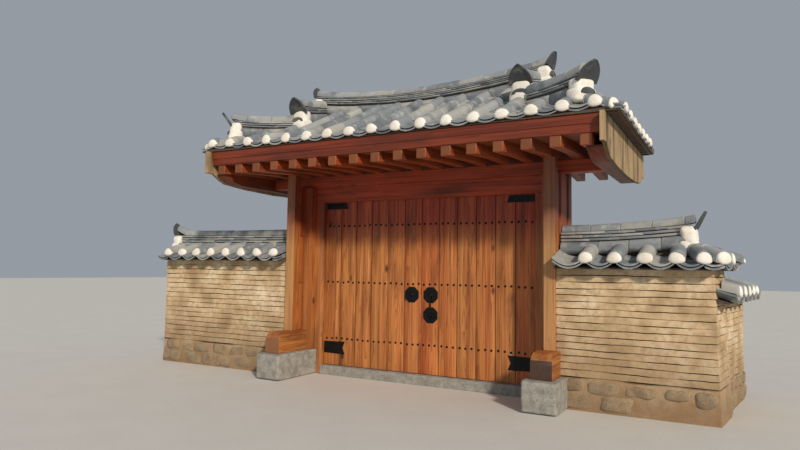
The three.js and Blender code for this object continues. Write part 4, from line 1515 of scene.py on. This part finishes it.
@dataclass(frozen=True)
class ClayWall:
    """A wall of clay in thin courses on a foot of field stones.

    The plan's corners go round the wall, with the first and last at the post or wall that it starts from.
    Its name is its node's.
    """

    name: str
    corners: tuple[Pair, ...]
    top: float = 1.508
    foot: float = 0.36
    course: float = 0.076
    spread: float = 0.0
    battered: float = 0.25
    stone_rows: tuple[Pair, ...] = ((0.0, 0.2), (0.19, 0.345))
    stone_wide: Pair = (0.22, 0.46)
    stone_sunk: Pair = (0.04, 0.062)
    stone_deep: float = 0.08
    bulge: float = 0.011
    pitch: float = 0.05
    # Up one course: how far up it, how far out or in, and the tone, which is low for the painted shade in the
    # joints.
    profile: tuple[Triple, ...] = ((0.0, -1.0, 0.0), (0.08, -0.8, 0.15), (0.13, 0.75, 1.0),
                                   (0.5, 0.5, 1.0), (0.94, 0.25, 0.95), (0.99, -0.6, 0.2))
    # The height and length of each unevenness: the joints' long and short waves, and the face's.
    waves: tuple[Pair, ...] = ((0.006, 0.7), (0.003, 0.16))
    lumps: tuple[Pair, ...] = ((0.005, 0.4), (0.002, 0.1))
    boulders: tuple[Four, ...] = ()
    seed: int = 1

    def _plan(self) -> tuple[Array, Array]:
        """Walks round the plan.

        Returns:
            The places, and the way outwards at each of them.
        """
        corners = np.array(self.corners, float)
        places, outward = [], []
        for start, end in zip(corners, np.roll(corners, -1, axis=0)):
            edge = end - start
            length = float(np.hypot(*edge))
            count = max(2, round(length / self.pitch))
            share = (np.arange(count) / count)[:, None]
            places.append(start + edge * share)
            outward.append(np.tile([edge[1], -edge[0]], (count, 1)) / length)
        outward = np.concatenate(outward)
        smooth = (outward + np.roll(outward, 1, axis=0)) / 2
        return np.concatenate(places), smooth

    def face(self) -> Shell:
        """Builds the clay.

        Formula: rows of points follow the courses round the plan, and each course bulges between two
        joints that waver in height and depth. The tone is low in the joints, which paints shade into them.

        Returns:
            The wall, whose rings have an even number of points.
        """
        plan, outward = self._plan()
        if len(plan) % 2:
            plan, outward = plan[:-1], outward[:-1]
        count = math.ceil((self.top - self.foot) / self.course)
        levels = np.linspace(self.foot, self.top, count + 1)
        phase, depth, tone = np.array(self.profile).T
        number = np.repeat(np.arange(count), len(phase))
        share = np.tile(phase, count)
        flat = packed(*plan.T, 0.0)
        (high, long), (low, short) = self.waves
        waver = np.stack([high * ripple(flat + [0, 0, 9.0 * n], long, self.seed + n)
                          + low * ripple(flat + [0, 0, 5.0 * n], short, self.seed + 40 + n)
                          for n in range(count + 1)])
        waver[0] = waver[-1] = 0
        low = levels[number][:, None] + waver[number]
        high = levels[number + 1][:, None] + waver[number + 1]
        z = low + share[:, None] * (high - low)
        fade = np.stack([np.clip(0.8 + 0.7 * ripple(flat + [0, 0, 3.0 * n], 0.6, self.seed + 80 + n), 0.12, 1)
                         for n in range(count + 1)])
        near = np.where(share[:, None] < 0.5, fade[number], fade[number + 1])
        push = np.tile(depth, count)[:, None]
        out = self.bulge * np.where(push < 0, push * near, push)
        place = packed(*plan.T, z)
        for (height, length), seed in zip(self.lumps, (self.seed, self.seed + 3)):
            out = out + height * ripple(place, length, seed)
        tones = np.tile(tone, count)[:, None]
        tones = 1 - (1 - tones) * near
        ends = ((4, 1), (0, 0))
        z = np.pad(z, ends, constant_values=self.top)
        z[:4] = np.array([0.0, 0.03, self.foot * 0.5, self.foot - 0.03])[:, None]
        out = np.pad(out, ends, constant_values=[(0.004, -0.004)])
        tones = np.pad(tones, ends, constant_values=[(0.75, 0.5)])
        (x, y), (right, ahead) = plan.T, outward.T
        battered = x > x.max() - self.battered
        x = x + right * out + self.spread * (1 - z / self.top) * battered
        return loft(packed(x, y + ahead * out, z), tones)

    def stones(self) -> Shell:
        """Builds the field stones at the foot.

        Returns:
            A row of stones round the plan, and the boulders.
        """
        rng = np.random.default_rng(self.seed)
        plan, outward = self._plan()
        far = np.cumsum(np.hypot(*(np.roll(plan, -1, axis=0) - plan).T))
        stones = []
        for row, (low, high) in enumerate(self.stone_rows):
            along = 0.08 * row
            while along < far[-1] - 0.1:
                width = rng.uniform(*self.stone_wide)
                spot = int(np.searchsorted(far, along + width / 2)) % len(plan)
                centre, out = plan[spot], outward[spot]
                half = np.abs(out)[::-1] * width / 2 + np.abs(out) * self.stone_deep
                askew = float(np.abs(out).min())
                middle = centre - out * (rng.uniform(*self.stone_sunk) + askew * width / 2)
                lift = rng.uniform(-0.02, 0.012, 2)
                corner = np.maximum(middle - half, plan.min(axis=0) - 0.03)
                opposite = np.minimum(middle + half, plan.max(axis=0) + [0.03, 0.003])
                seed = int(rng.integers(1000))
                if not any(out[1] < -0.5 and first - 0.16 < centre[0] < last + 0.1
                           for first, last, _, _ in self.boulders):
                    stones.append(boulder((*corner, max(low + lift[0], 0.0)), (*opposite, high + lift[1]),
                                          4.4, 0.1, seed, around=24, rings=13))
                along += width + rng.uniform(-0.01, 0.02)
        front = float(plan[:, 1].min())
        for n, (first, last, low, high) in enumerate(self.boulders):
            stones.append(boulder((first, front - 0.036, low), (last, front + 0.1, high), 3.0, 0.07,
                                  self.seed + n, around=28, rings=17))
        return joined(stones)

    def build(self, shop: Workshop) -> None:
        """Makes the wall's pieces.

        Args:
            shop: What makes the pieces.
        """
        shop.show(f"{self.name}_clay", self.face(), RAMMED_CLAY, self.name)
        shop.show(f"{self.name}_stones", self.stones(), FIELD_STONE, crease=ROUNDED)


@dataclass(frozen=True)
class Line:
    """A line up a coping from its eave, along and across the wall, and whether cover tiles lie on it."""

    foot: Pair
    head: Pair
    covered: bool = True


@dataclass(frozen=True)
class Coping:
    """The tiles on a wall: rows down its slopes, clay under them, and a ridge along the top.

    Places are along the wall from its start and across it from its middle, which ahead and aside turn
    into places in plan. A hipped coping also falls towards its far end, which runs askew. Its name is its
    node's.
    """

    name: str
    start: Pair
    ahead: Pair
    aside: Pair
    runs: tuple[tuple[Line, ...], ...]
    beds: tuple[Four, ...]
    level: float
    ridge: Pair
    crest: Pair
    end: RidgeEnd = RidgeEnd.PLATE
    hip: Pair | None = None
    hip_run: float = 0.275
    reach: float = 0.5
    rise: float = 0.11
    run: float = 0.36
    bed_deep: float = 0.042
    bed_foot: float = 0.035
    flare: float = 0.015
    tiles: Tiles = Tiles(cover_up=0.07, curl=0.078)
    seed: int = 300

    def _far(self, across: Array) -> Array:
        """Returns how far along the wall the coping reaches."""
        first, skew = self.hip or (9.0, 0.0)
        return first + skew * (across + self.reach)

    def surface(self, plan: Array) -> Array:
        """Turns places along and across the wall into points on the slopes.

        Formula: the height grows with the distance from the nearest eave, up to the ridge's foot.

        Args:
            plan: Places, as along and across in the last axis.

        Returns:
            The points.
        """
        along, across = plan[..., 0], plan[..., 1]
        share = np.clip((self.reach - np.abs(across)) / self.run, 0, 1)
        share = np.minimum(share, np.clip((self._far(across) - along) / self.hip_run, 0, 1))
        x = self.start[0] + self.ahead[0] * along + self.aside[0] * across
        y = self.start[1] + self.ahead[1] * along + self.aside[1] * across
        return packed(x, y, self.level + self.rise * share)

    def covering(self) -> tuple[Shell, Shell, Shell]:
        """Builds the rows.

        Returns:
            The cover tiles, the channel tiles, and the plaster on the rows' ends.
        """
        lines, channels = [], []
        shares = self.tiles.shares()[:, None]
        for number, run in enumerate(self.runs):
            for n, line in enumerate(run):
                if line.covered:
                    seed = self.seed + 20 * number + n
                    lines.append((line_on(self.surface, line.foot, line.head), seed, seed))
            for n, (left, right) in enumerate(zip(run[:-1], run[1:])):
                foot = np.array(left.foot) + np.subtract(right.foot, left.foot) * shares
                head = np.array(left.head) + np.subtract(right.head, left.head) * shares
                channels.append(self.tiles.channel(foot, head, self.surface, self.seed + 60 + n))
        covers, plaster = self.tiles.rows(lines)
        return covers, joined(channels), plaster

    def bed(self) -> Shell:
        """Builds the clay under the tiles.

        Formula: the slopes less a little, over a grid, closed by a level underside.

        Returns:
            The clay.
        """
        shells = []
        for first, last, near, far in self.beds:
            across = np.linspace(near, far, 21)[None, :]
            reach = np.minimum(last, self._far(across) - 0.07)
            along = first + np.linspace(0, 1, 16)[:, None] * (reach - first)
            top = self.surface(packed(along, across)) - [0, 0, self.bed_deep]
            under = packed(top[:, ::-1, 0], top[:, ::-1, 1], self.level - self.bed_foot)
            shells.append(loft(np.concatenate([top, under], axis=1)))
        return joined(shells)

    def build(self, shop: Workshop) -> None:
        """Makes the coping's pieces.

        Args:
            shop: What makes the pieces.
        """
        covers, channels, plaster = self.covering()
        shop.show(f"{self.name}_cover_tiles", covers, FIRED_TILE, self.name)
        shop.show(f"{self.name}_channel_tiles", channels, FIRED_TILE)
        shop.show(f"{self.name}_end_plaster", plaster, LIME_PLASTER, crease=ROUNDED)
        shop.show(f"{self.name}_bed", self.bed(), BED_CLAY_AND_PAINTED_SHADE)
        self._ridge().build(shop)

    def _ridge(self) -> Ridge:
        """Makes the ridge, which rises towards its far end.

        Returns:
            The ridge.
        """
        first, last = self.ridge
        low, high = self.crest
        line = line_on(self.surface, (first, 0), (last, 0))
        path = Path(line.start, line.end, lambda s: low + (high - low) * (s / line.length) ** 2)
        root = line.level(self.level + self.rise - 0.04).height
        return Ridge(f"{self.name}_ridge", self.name, path, root, plate_wide=0.235, plate_high=0.23,
                     plate_foot=0.167 - self.flare, plate_lean=28, inlaid=False, flare=self.flare, cap=0.09,
                     layer=0.038, band=0.14, band_out=1.5, end=self.end, seed=self.seed)


# Timber


@dataclass(frozen=True)
class DoorLeaf:
    """A door leaf: upright boards, battens behind them, a round hinge stile with its pins, and nails."""

    side: int
    body: Body
    node: str
    boards: int = 6
    board: float = 0.2635
    edge: float = 0.003
    gap: float = 0.011
    stile_gap: float = 0.012
    tongue: Triple = (0.008, 0.018, 0.030)
    thick: float = 0.045
    low: float = 0.133
    high: float = 2.510
    hinge_x: float = 1.62
    hinge_y: float = 0.03
    stile: Triple = (0.03, 0.133, 2.510)
    pins: Triple = (0.018, 0.1255, 2.5178)
    batten: Pair = (0.06, 1.58)
    batten_deep: float = 0.045
    batten_half: float = 0.045
    levels: Numbers = (0.513, 1.324, 2.136)
    nail: float = 0.0165
    nail_shares: Numbers = (0.14, 0.46, 0.78)

    def wood(self) -> Shell:
        """Builds the boards, the battens and the hinge stile.

        Returns:
            One shell of them all.
        """
        seed = 500 + 50 * self.side
        parts = []
        for n in range(self.boards):
            left = self.edge + n * self.board
            right = left + self.board - self.gap if n < self.boards - 1 else self.hinge_x - self.stile_gap
            parts.append(plank((left, 0, self.low), (right, self.thick, self.high), Axis.Z, seed + n, 0.004))
            if n < self.boards - 1:
                into, near, far = self.tongue
                low = (right - into, near, self.low + into)
                high = (right + self.gap + into, far, self.high - into)
                parts.append(plank(low, high, Axis.Z, seed + 30 + n, 0.002))
        for n, level in enumerate(self.levels):
            low = (self.batten[0], self.thick, level - self.batten_half)
            high = (self.batten[1], self.thick + self.batten_deep, level + self.batten_half)
            parts.append(plank(low, high, Axis.X, seed + 10 + n, 0.006))
        for radius, low, high in (self.stile, self.pins):
            turn = circle(16)
            z = np.array([low, low + 0.004, high - 0.004, high])[:, None]
            wide = radius * np.array([0.9, 1, 1, 0.9])[:, None]
            x, y = self.hinge_x + wide * np.cos(turn), self.hinge_y + wide * np.sin(turn)
            parts.append(loft(packed(x, y, z)))
        wood = joined(parts)
        return wood if self.side > 0 else wood.mirrored(Axis.X)

    def nails(self) -> Shell:
        """Builds the nail heads over the battens.

        Formula: each is a low dome on the boards' front face.

        Returns:
            All the nail heads.
        """
        rng = np.random.default_rng(60 + self.side)
        heads = []
        swell = np.radians([0, 0, 40, 80])[:, None]
        turn = circle(10)
        wide = self.nail * np.cos(swell)
        out = np.array([0.004, 0, 0, 0])[:, None] - self.nail * 0.6 * np.sin(swell)
        for level in self.levels:
            for n in range(self.boards):
                for share in self.nail_shares:
                    x = self.edge + (n + share) * self.board + rng.uniform(-0.004, 0.004)
                    z = level + rng.uniform(-0.006, 0.006)
                    heads.append(loft(packed(x + wide * np.cos(turn), out, z + wide * np.sin(turn))))
        nails = joined(heads)
        return nails if self.side > 0 else nails.mirrored(Axis.X)

    def build(self, shop: Workshop) -> None:
        """Makes the leaf's pieces.

        Args:
            shop: What makes the pieces.
        """
        shop.show(f"{self.node}_wood", self.wood(), DOOR_PINE, self.node, self.body)
        shop.show(f"{self.node}_nails", self.nails(), FORGED_IRON, body=self.body)


@dataclass(frozen=True)
class RoofTimber:
    """The joists and the boards on them, which are level over the beam and fall to the eaves."""

    count: int = 17
    spacing: float = 0.307
    wide: float = 0.12
    deep: float = 0.12
    tip: float = 1.28
    level: float = 0.5
    fall: float = 0.06
    under: float = 2.85
    deck_half: float = 2.605
    deck_y: float = 1.215
    deck_thick: float = 0.03
    boards: int = 12

    def _bent(self, shell: Shell) -> Shell:
        """Lowers a shell towards the eaves as the joists are.

        Args:
            shell: A level one.

        Returns:
            The same shell, bent.
        """
        y = np.abs(shell.points[:, 1])
        shell.points = shell.points.copy()
        shell.points[:, 2] -= self.fall * np.clip((y - self.level) / (self.tip - self.level), 0, None)
        return shell

    def build(self, shop: Workshop) -> None:
        """Makes the joists and the deck.

        Args:
            shop: What makes the pieces.
        """
        joists = []
        for n in range(self.count):
            x = (n - (self.count - 1) / 2) * self.spacing
            low = (x - self.wide / 2, -self.tip, self.under)
            high = (x + self.wide / 2, self.tip, self.under + self.deep)
            joists.append(self._bent(plank(low, high, Axis.Y, 700 + n, 0.006, rings=9)))
        shop.show("joists", joined(joists), JOIST_PINE, "joists_and_deck")
        pitch = 2 * self.deck_y / self.boards
        top = self.under + self.deep
        deck = []
        for n in range(self.boards):
            low = (-self.deck_half, -self.deck_y + n * pitch, top)
            high = (self.deck_half, -self.deck_y + (n + 1) * pitch - 0.004, top + self.deck_thick)
            deck.append(self._bent(plank(low, high, Axis.X, 740 + n, 0.003)))
        shop.show("deck_boards", joined(deck), DECK_PINE)


@dataclass(frozen=True)
class SideFrames:
    """Granite pads under the posts, the plank panels between the posts, and the rails over them."""

    seams: Numbers = (0.63, 1.30, 1.98, 2.70)
    joist_under: float = 2.85
    joist_level: float = 0.5
    joist_fall: float = 0.077
    rail_cut: tuple[Pair, ...] = ((0.0, 2.67), (0.86, 2.672), (1.0, 2.695), (1.1, 2.73), (1.199, 2.772))

    def _rail(self, side: str, seed: int) -> Shell:
        """Makes the rail under the joists' ends at one side of the roof.

        Formula: a rectangle carried along y. Its top follows the joists, and towards both ends its
        underside rises as the gable board's lower edge does.

        Args:
            side: The side of the roof, as in the rail's name.
            seed: What makes its grain differ from the other one's.

        Returns:
            The rail.
        """
        low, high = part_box(f"{side}_rail")
        inset = 0.002
        y = np.linspace(low.y, high.y, 41)
        reach, lower = np.array(self.rail_cut).T
        foot = np.interp(np.abs(y), reach, lower)
        top = self.joist_under - self.joist_fall * np.clip(np.abs(y) - self.joist_level, 0, None) - 0.001
        left, right = low.x + inset, high.x - inset
        corners = ((left, foot), (left, top), (right, top), (right, foot))
        rings = np.stack([packed(x, y, z) for x, z in corners], axis=1)
        heart = [0.07 + 0.01 * seed, 0.05, 3.0 * seed]
        return loft(rings, grain=(rings - [low.x, 0, 2.7])[..., [0, 2, 1]] + heart)

    def build(self, shop: Workshop) -> None:
        """Makes the pads, the rails and the panels.

        Args:
            shop: What makes the pieces.
        """
        for n, side in enumerate(("right", "left")):
            low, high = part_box(f"{side}_pad")
            pad = boulder(low, high, 18.0, 0.012, 90 + n, around=64, rings=25)
            shop.show(f"{side}_pad_stone", pad, GRANITE, f"{side}_pad", crease=ROUNDED)
            shop.show(f"{side}_rail_timber", self._rail(side, n), RAIL_PINE, f"{side}_rail")
            for m, depth in enumerate(("front", "rear")):
                node = f"{depth}_{side}_panel"
                low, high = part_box(node)
                planks = [plank((low.x, low.y, under + 0.002), (high.x, high.y, over - 0.002), Axis.Z,
                                800 + 20 * n + 10 * m + k, 0.005)
                          for k, (under, over) in enumerate(zip(self.seams[:-1], self.seams[1:]))]
                shop.show(f"{node}_planks", joined(planks), PANEL_PINE, node)


@dataclass(frozen=True)
class KeptSolids:
    """The solids that stay as they are, each with its finish and softened edges."""

    finishes: tuple[tuple[str, Finish], ...] = (
        ("main_post", OILED_PINE),
        ("post", POST_PINE),
        ("jamb", OILED_PINE),
        ("cross_beam", BEAM_PINE_OILED_AND_PAINTED_SHADE),
        ("lintel", BEAM_PINE_OILED_AND_PAINTED_SHADE),
        ("left_block", DRY_BLOCK_PINE),
        ("block", BLOCK_PINE),
        ("gable_board", BLEACHED_PINE),
        ("eave_board", EAVE_BOARD_PINE_PAINTED_SHADE),
        ("strap", FORGED_IRON),
        ("plate", FORGED_IRON),
        ("door_sill", GRANITE),
    )
    edge: float = 0.006
    iron_edge: float = 0.0015

    def build(self, nodes: dict[str, bpy.types.Object], shop: Workshop) -> None:
        """Gives each solid that is still shown its material.

        Args:
            nodes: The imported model's objects, by name.
            shop: What makes the pieces.
        """
        for name, node in nodes.items():
            if node.hide_render:
                continue
            for ending, finish in self.finishes:
                if name.endswith(ending):
                    for slot in node.material_slots:
                        slot.material = shop[finish]
                    self._soften(node, self.iron_edge if finish is FORGED_IRON else self.edge)
                    break
            else:
                log.warning("%s has no finish", name)

    def _soften(self, node: bpy.types.Object, width: float) -> None:
        """Rounds the edges of a solid with live modifiers.

        Args:
            node: The solid.
            width: How wide the rounding is.
        """
        weld = node.modifiers.new("weld", "WELD")
        weld.merge_threshold = 0.0001
        bevel = node.modifiers.new("edges", "BEVEL")
        bevel.width = width
        bevel.segments = 2
        bevel.limit_method = "ANGLE"
        bevel.angle_limit = math.radians(40)


# Stage


@dataclass(frozen=True)
class Studio:
    """A pale floor, soft light from the front right, and the camera at the photograph's place."""

    eye: Triple = (3.786, -7.522, 1.529)
    yaw: float = 28.762
    pitch: float = 4.024
    roll: float = 0.889
    focal_pixels: float = 621.3
    width_pixels: int = 800
    sun_side: float = 48.0
    sun_height: float = 27.0
    sun_wide: float = 5.0
    sun_strength: float = 2.9
    sun_colour: str = "#fff3e2"
    sky_strength: float = 0.42
    sky_colour: str = "#dbe5f1"

    def camera(self) -> None:
        """Makes the camera.

        Formula: it looks along its yaw and pitch and is then rolled about that line.
        """
        yaw, pitch, roll = (math.radians(turn) for turn in (self.yaw, self.pitch, self.roll))
        ahead = Vector((-math.sin(yaw) * math.cos(pitch), math.cos(yaw) * math.cos(pitch), math.sin(pitch)))
        level = Vector((math.cos(yaw), math.sin(yaw), 0))
        above = level.cross(ahead)
        right = level * math.cos(roll) + above * math.sin(roll)
        top = above * math.cos(roll) - level * math.sin(roll)
        data = bpy.data.cameras.new("camera")
        data.sensor_width = 36.0
        data.lens = 36.0 * self.focal_pixels / self.width_pixels
        camera = bpy.data.objects.new("camera", data)
        turned = Matrix((right, top, -ahead)).transposed().to_4x4()
        camera.matrix_world = Matrix.Translation(self.eye) @ turned
        bpy.context.scene.collection.objects.link(camera)
        bpy.context.scene.camera = camera

    def light(self) -> None:
        """Makes a broad warm key light, and a cool even light from all round."""
        data = bpy.data.lights.new("key", "SUN")
        data.energy = self.sun_strength
        data.angle = math.radians(self.sun_wide)
        data.color = linear(self.sun_colour)[:3]
        key = bpy.data.objects.new("key", data)
        side, height = math.radians(self.sun_side), math.radians(self.sun_height)
        to_sun = Vector((math.sin(side) * math.cos(height), -math.cos(side) * math.cos(height),
                         math.sin(height)))
        key.rotation_mode = "QUATERNION"
        key.rotation_quaternion = to_sun.to_track_quat("Z", "Y")
        bpy.context.scene.collection.objects.link(key)
        world = bpy.data.worlds.new("studio")
        world.use_nodes = True
        world.node_tree.nodes.clear()
        around = add(world.node_tree, "Background", {"Color": linear(self.sky_colour),
                                                     "Strength": self.sky_strength})
        add(world.node_tree, "OutputWorld", {"Surface": around})
        bpy.context.scene.world = world
        bpy.context.scene.view_settings.view_transform = "Standard"

    def floor(self, shop: Workshop) -> None:
        """Makes the floor.

        Args:
            shop: What makes the pieces.
        """
        reach = 60.0
        mesh = bpy.data.meshes.new("floor")
        corners = [(-reach, -reach, 0), (reach, -reach, 0), (reach, reach, 0), (-reach, reach, 0)]
        mesh.from_pydata(corners, [], [(0, 1, 2, 3)])
        mesh.materials.append(shop[PALE_FLOOR])
        floor = bpy.data.objects.new("floor", mesh)
        bpy.context.scene.collection.objects.link(floor)

    def build(self, shop: Workshop) -> None:
        """Makes the camera, the light and the floor.

        Args:
            shop: What makes the pieces.
        """
        self.camera()
        self.light()
        self.floor(shop)


@dataclass(frozen=True)
class Walls:
    """The three walls with their copings: where they stand, how high they are and where their rows lie."""

    post: float = 1.942
    front: float = -0.45
    back: float = 0.15
    far: float = 3.535
    left_end: float = 4.398
    middle: float = -0.15
    return_span: Pair = (0.152, 1.378)
    clear: float = 0.004
    lean: float = math.tan(math.radians(8))
    right_rows: Numbers = (0.359, 0.663, 0.967, 1.271)
    left_rows: Numbers = (0.101, 0.406, 0.711, 1.016, 1.321, 1.626, 1.931, 2.236)
    return_rows: Numbers = (0.36, 0.665, 0.97)
    return_end: float = 1.243
    ledge_rows: Numbers = (-0.25, 0.055)
    reach: float = 0.5
    bed_half: float = 0.43
    fan: tuple[tuple[Pair, Pair], ...] = (((1.531, -0.5), (1.40, -0.10)), ((1.708, -0.482), (1.44, -0.08)),
                                          ((1.782, 0.0), (1.46, 0.0)), ((1.84, 0.478), (1.44, 0.08)),
                                          ((1.56, 0.5), (1.40, 0.10)))
    ledge_start: float = -0.548
    ledge_head: float = 0.31
    corner_stones: tuple[Numbers, ...] = ((3.33, 3.57, 0.14, 0.34), (3.05, 3.325, 0.2, 0.335))

    def _splay(self, x: float, y: float) -> Pair:
        """Returns a place moved out as the splayed end of the wall is."""
        return x + (y - self.front) * self.lean, y

    def _across(self, along: float, side: int, covered: bool = True, head: float = 0.06) -> Line:
        """Returns a line straight across the wall, from one of its eaves up to the ridge."""
        return Line((along, self.reach * side), (along, head * side), covered)

    def clay(self) -> list[ClayWall]:
        """Lists the walls.

        Returns:
            The right-hand wall, the left-hand wall and the return wall.
        """
        inner = self.far - (self.back - self.front)
        right = ((self.post, self.front), (self.far, self.front), self._splay(self.far, self.back),
                 (self.post, self.back))
        left = ((-self.left_end, self.front), (-self.post, self.front), (-self.post, self.back),
                (-self.left_end, self.back))
        near, end = self.return_span
        behind = (self._splay(inner, near), self._splay(self.far, near), self._splay(self.far, end),
                  self._splay(inner, end))
        return [ClayWall("right_wall", right, top=1.562, spread=0.05, boulders=self.corner_stones, seed=4),
                ClayWall("left_wall", left, top=1.618, seed=9),
                ClayWall("return_wall", behind, top=1.224, seed=14)]

    def right_coping(self) -> Coping:
        """Lays out the coping of the right-hand wall, whose rows fan out round its far end.

        Returns:
            The coping.
        """
        front = [self._across(self.clear, -1, False), *(self._across(row, -1) for row in self.right_rows)]
        fan = [Line(foot, head) for foot, head in self.fan]
        rear = [*(self._across(row, 1) for row in reversed(self.right_rows)),
                self._across(self.clear, 1, False)]
        beds = ((self.clear, self.far, -self.bed_half, self.bed_half),)
        return Coping("right_coping", (self.post, self.middle), (1, 0), (0, 1), ((*front, *fan, *rear),),
                      beds, level=1.594, ridge=(0.0, 1.428), crest=(2.07, 2.145), hip=(1.712, self.lean))

    def left_coping(self) -> Coping:
        """Lays out the coping of the left-hand wall.

        Returns:
            The coping.
        """
        runs = tuple((self._across(self.clear, side, False),
                      *(self._across(row, side) for row in self.left_rows),
                      self._across(self.left_end - self.post, side, False)) for side in (-1, 1))
        beds = ((self.clear, 2.45, -self.bed_half, self.bed_half),)
        return Coping("left_coping", (-self.post, self.middle), (-1, 0), (0, 1), runs, beds,
                      level=1.65, ridge=(0.0, 2.53), crest=(2.09, 2.11), flare=0.09, seed=340)

    def return_coping(self) -> Coping:
        """Lays out the coping of the return wall, whose outer side runs on past the right-hand wall's end.

        Returns:
            The coping.
        """
        middle = self.far - (self.back - self.front) / 2
        full = [self._across(row, 1) for row in self.return_rows]
        ledge = [self._across(self.ledge_start, 1, False, self.ledge_head),
                 self._across(self.ledge_rows[0], 1, True, self.ledge_head),
                 self._across(self.ledge_rows[1], 1)]
        last = self._across(self.return_end, 1, False)
        inner = [self._across(self.clear, -1, False), *(self._across(row, -1) for row in self.return_rows),
                 self._across(self.return_end, -1, False)]
        beds = ((0.0, 1.23, -self.bed_half, self.bed_half), (-0.54, 0.01, 0.28, self.bed_half))
        return Coping("return_coping", self._splay(middle, self.return_span[0]), (self.lean, 1), (1, 0),
                      ((*ledge, *full, last), tuple(inner)), beds, level=1.255, ridge=(0.21, 1.215),
                      crest=(1.715, 1.72), end=RidgeEnd.PLAIN, seed=380)

    def build(self, shop: Workshop) -> None:
        """Makes the walls and their copings.

        Args:
            shop: What makes the pieces.
        """
        for wall in self.clay():
            wall.build(shop)
        for coping in (self.right_coping(), self.left_coping(), self.return_coping()):
            coping.build(shop)


def main() -> None:
    """Builds the gatehouse and its stage."""
    logging.basicConfig(level=logging.INFO, format="%(message)s")
    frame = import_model()
    shop = Workshop()
    Studio().build(shop)
    for part in (Roof(), RoofTimber(), SideFrames(), DoorLeaf(1, Body.RIGHT_DOOR, "right_leaf"),
                 DoorLeaf(-1, Body.LEFT_DOOR, "left_leaf"), Walls()):
        part.build(shop)
    KeptSolids().build(frame["nodes"], shop)


if __name__ == "__main__":
    main()
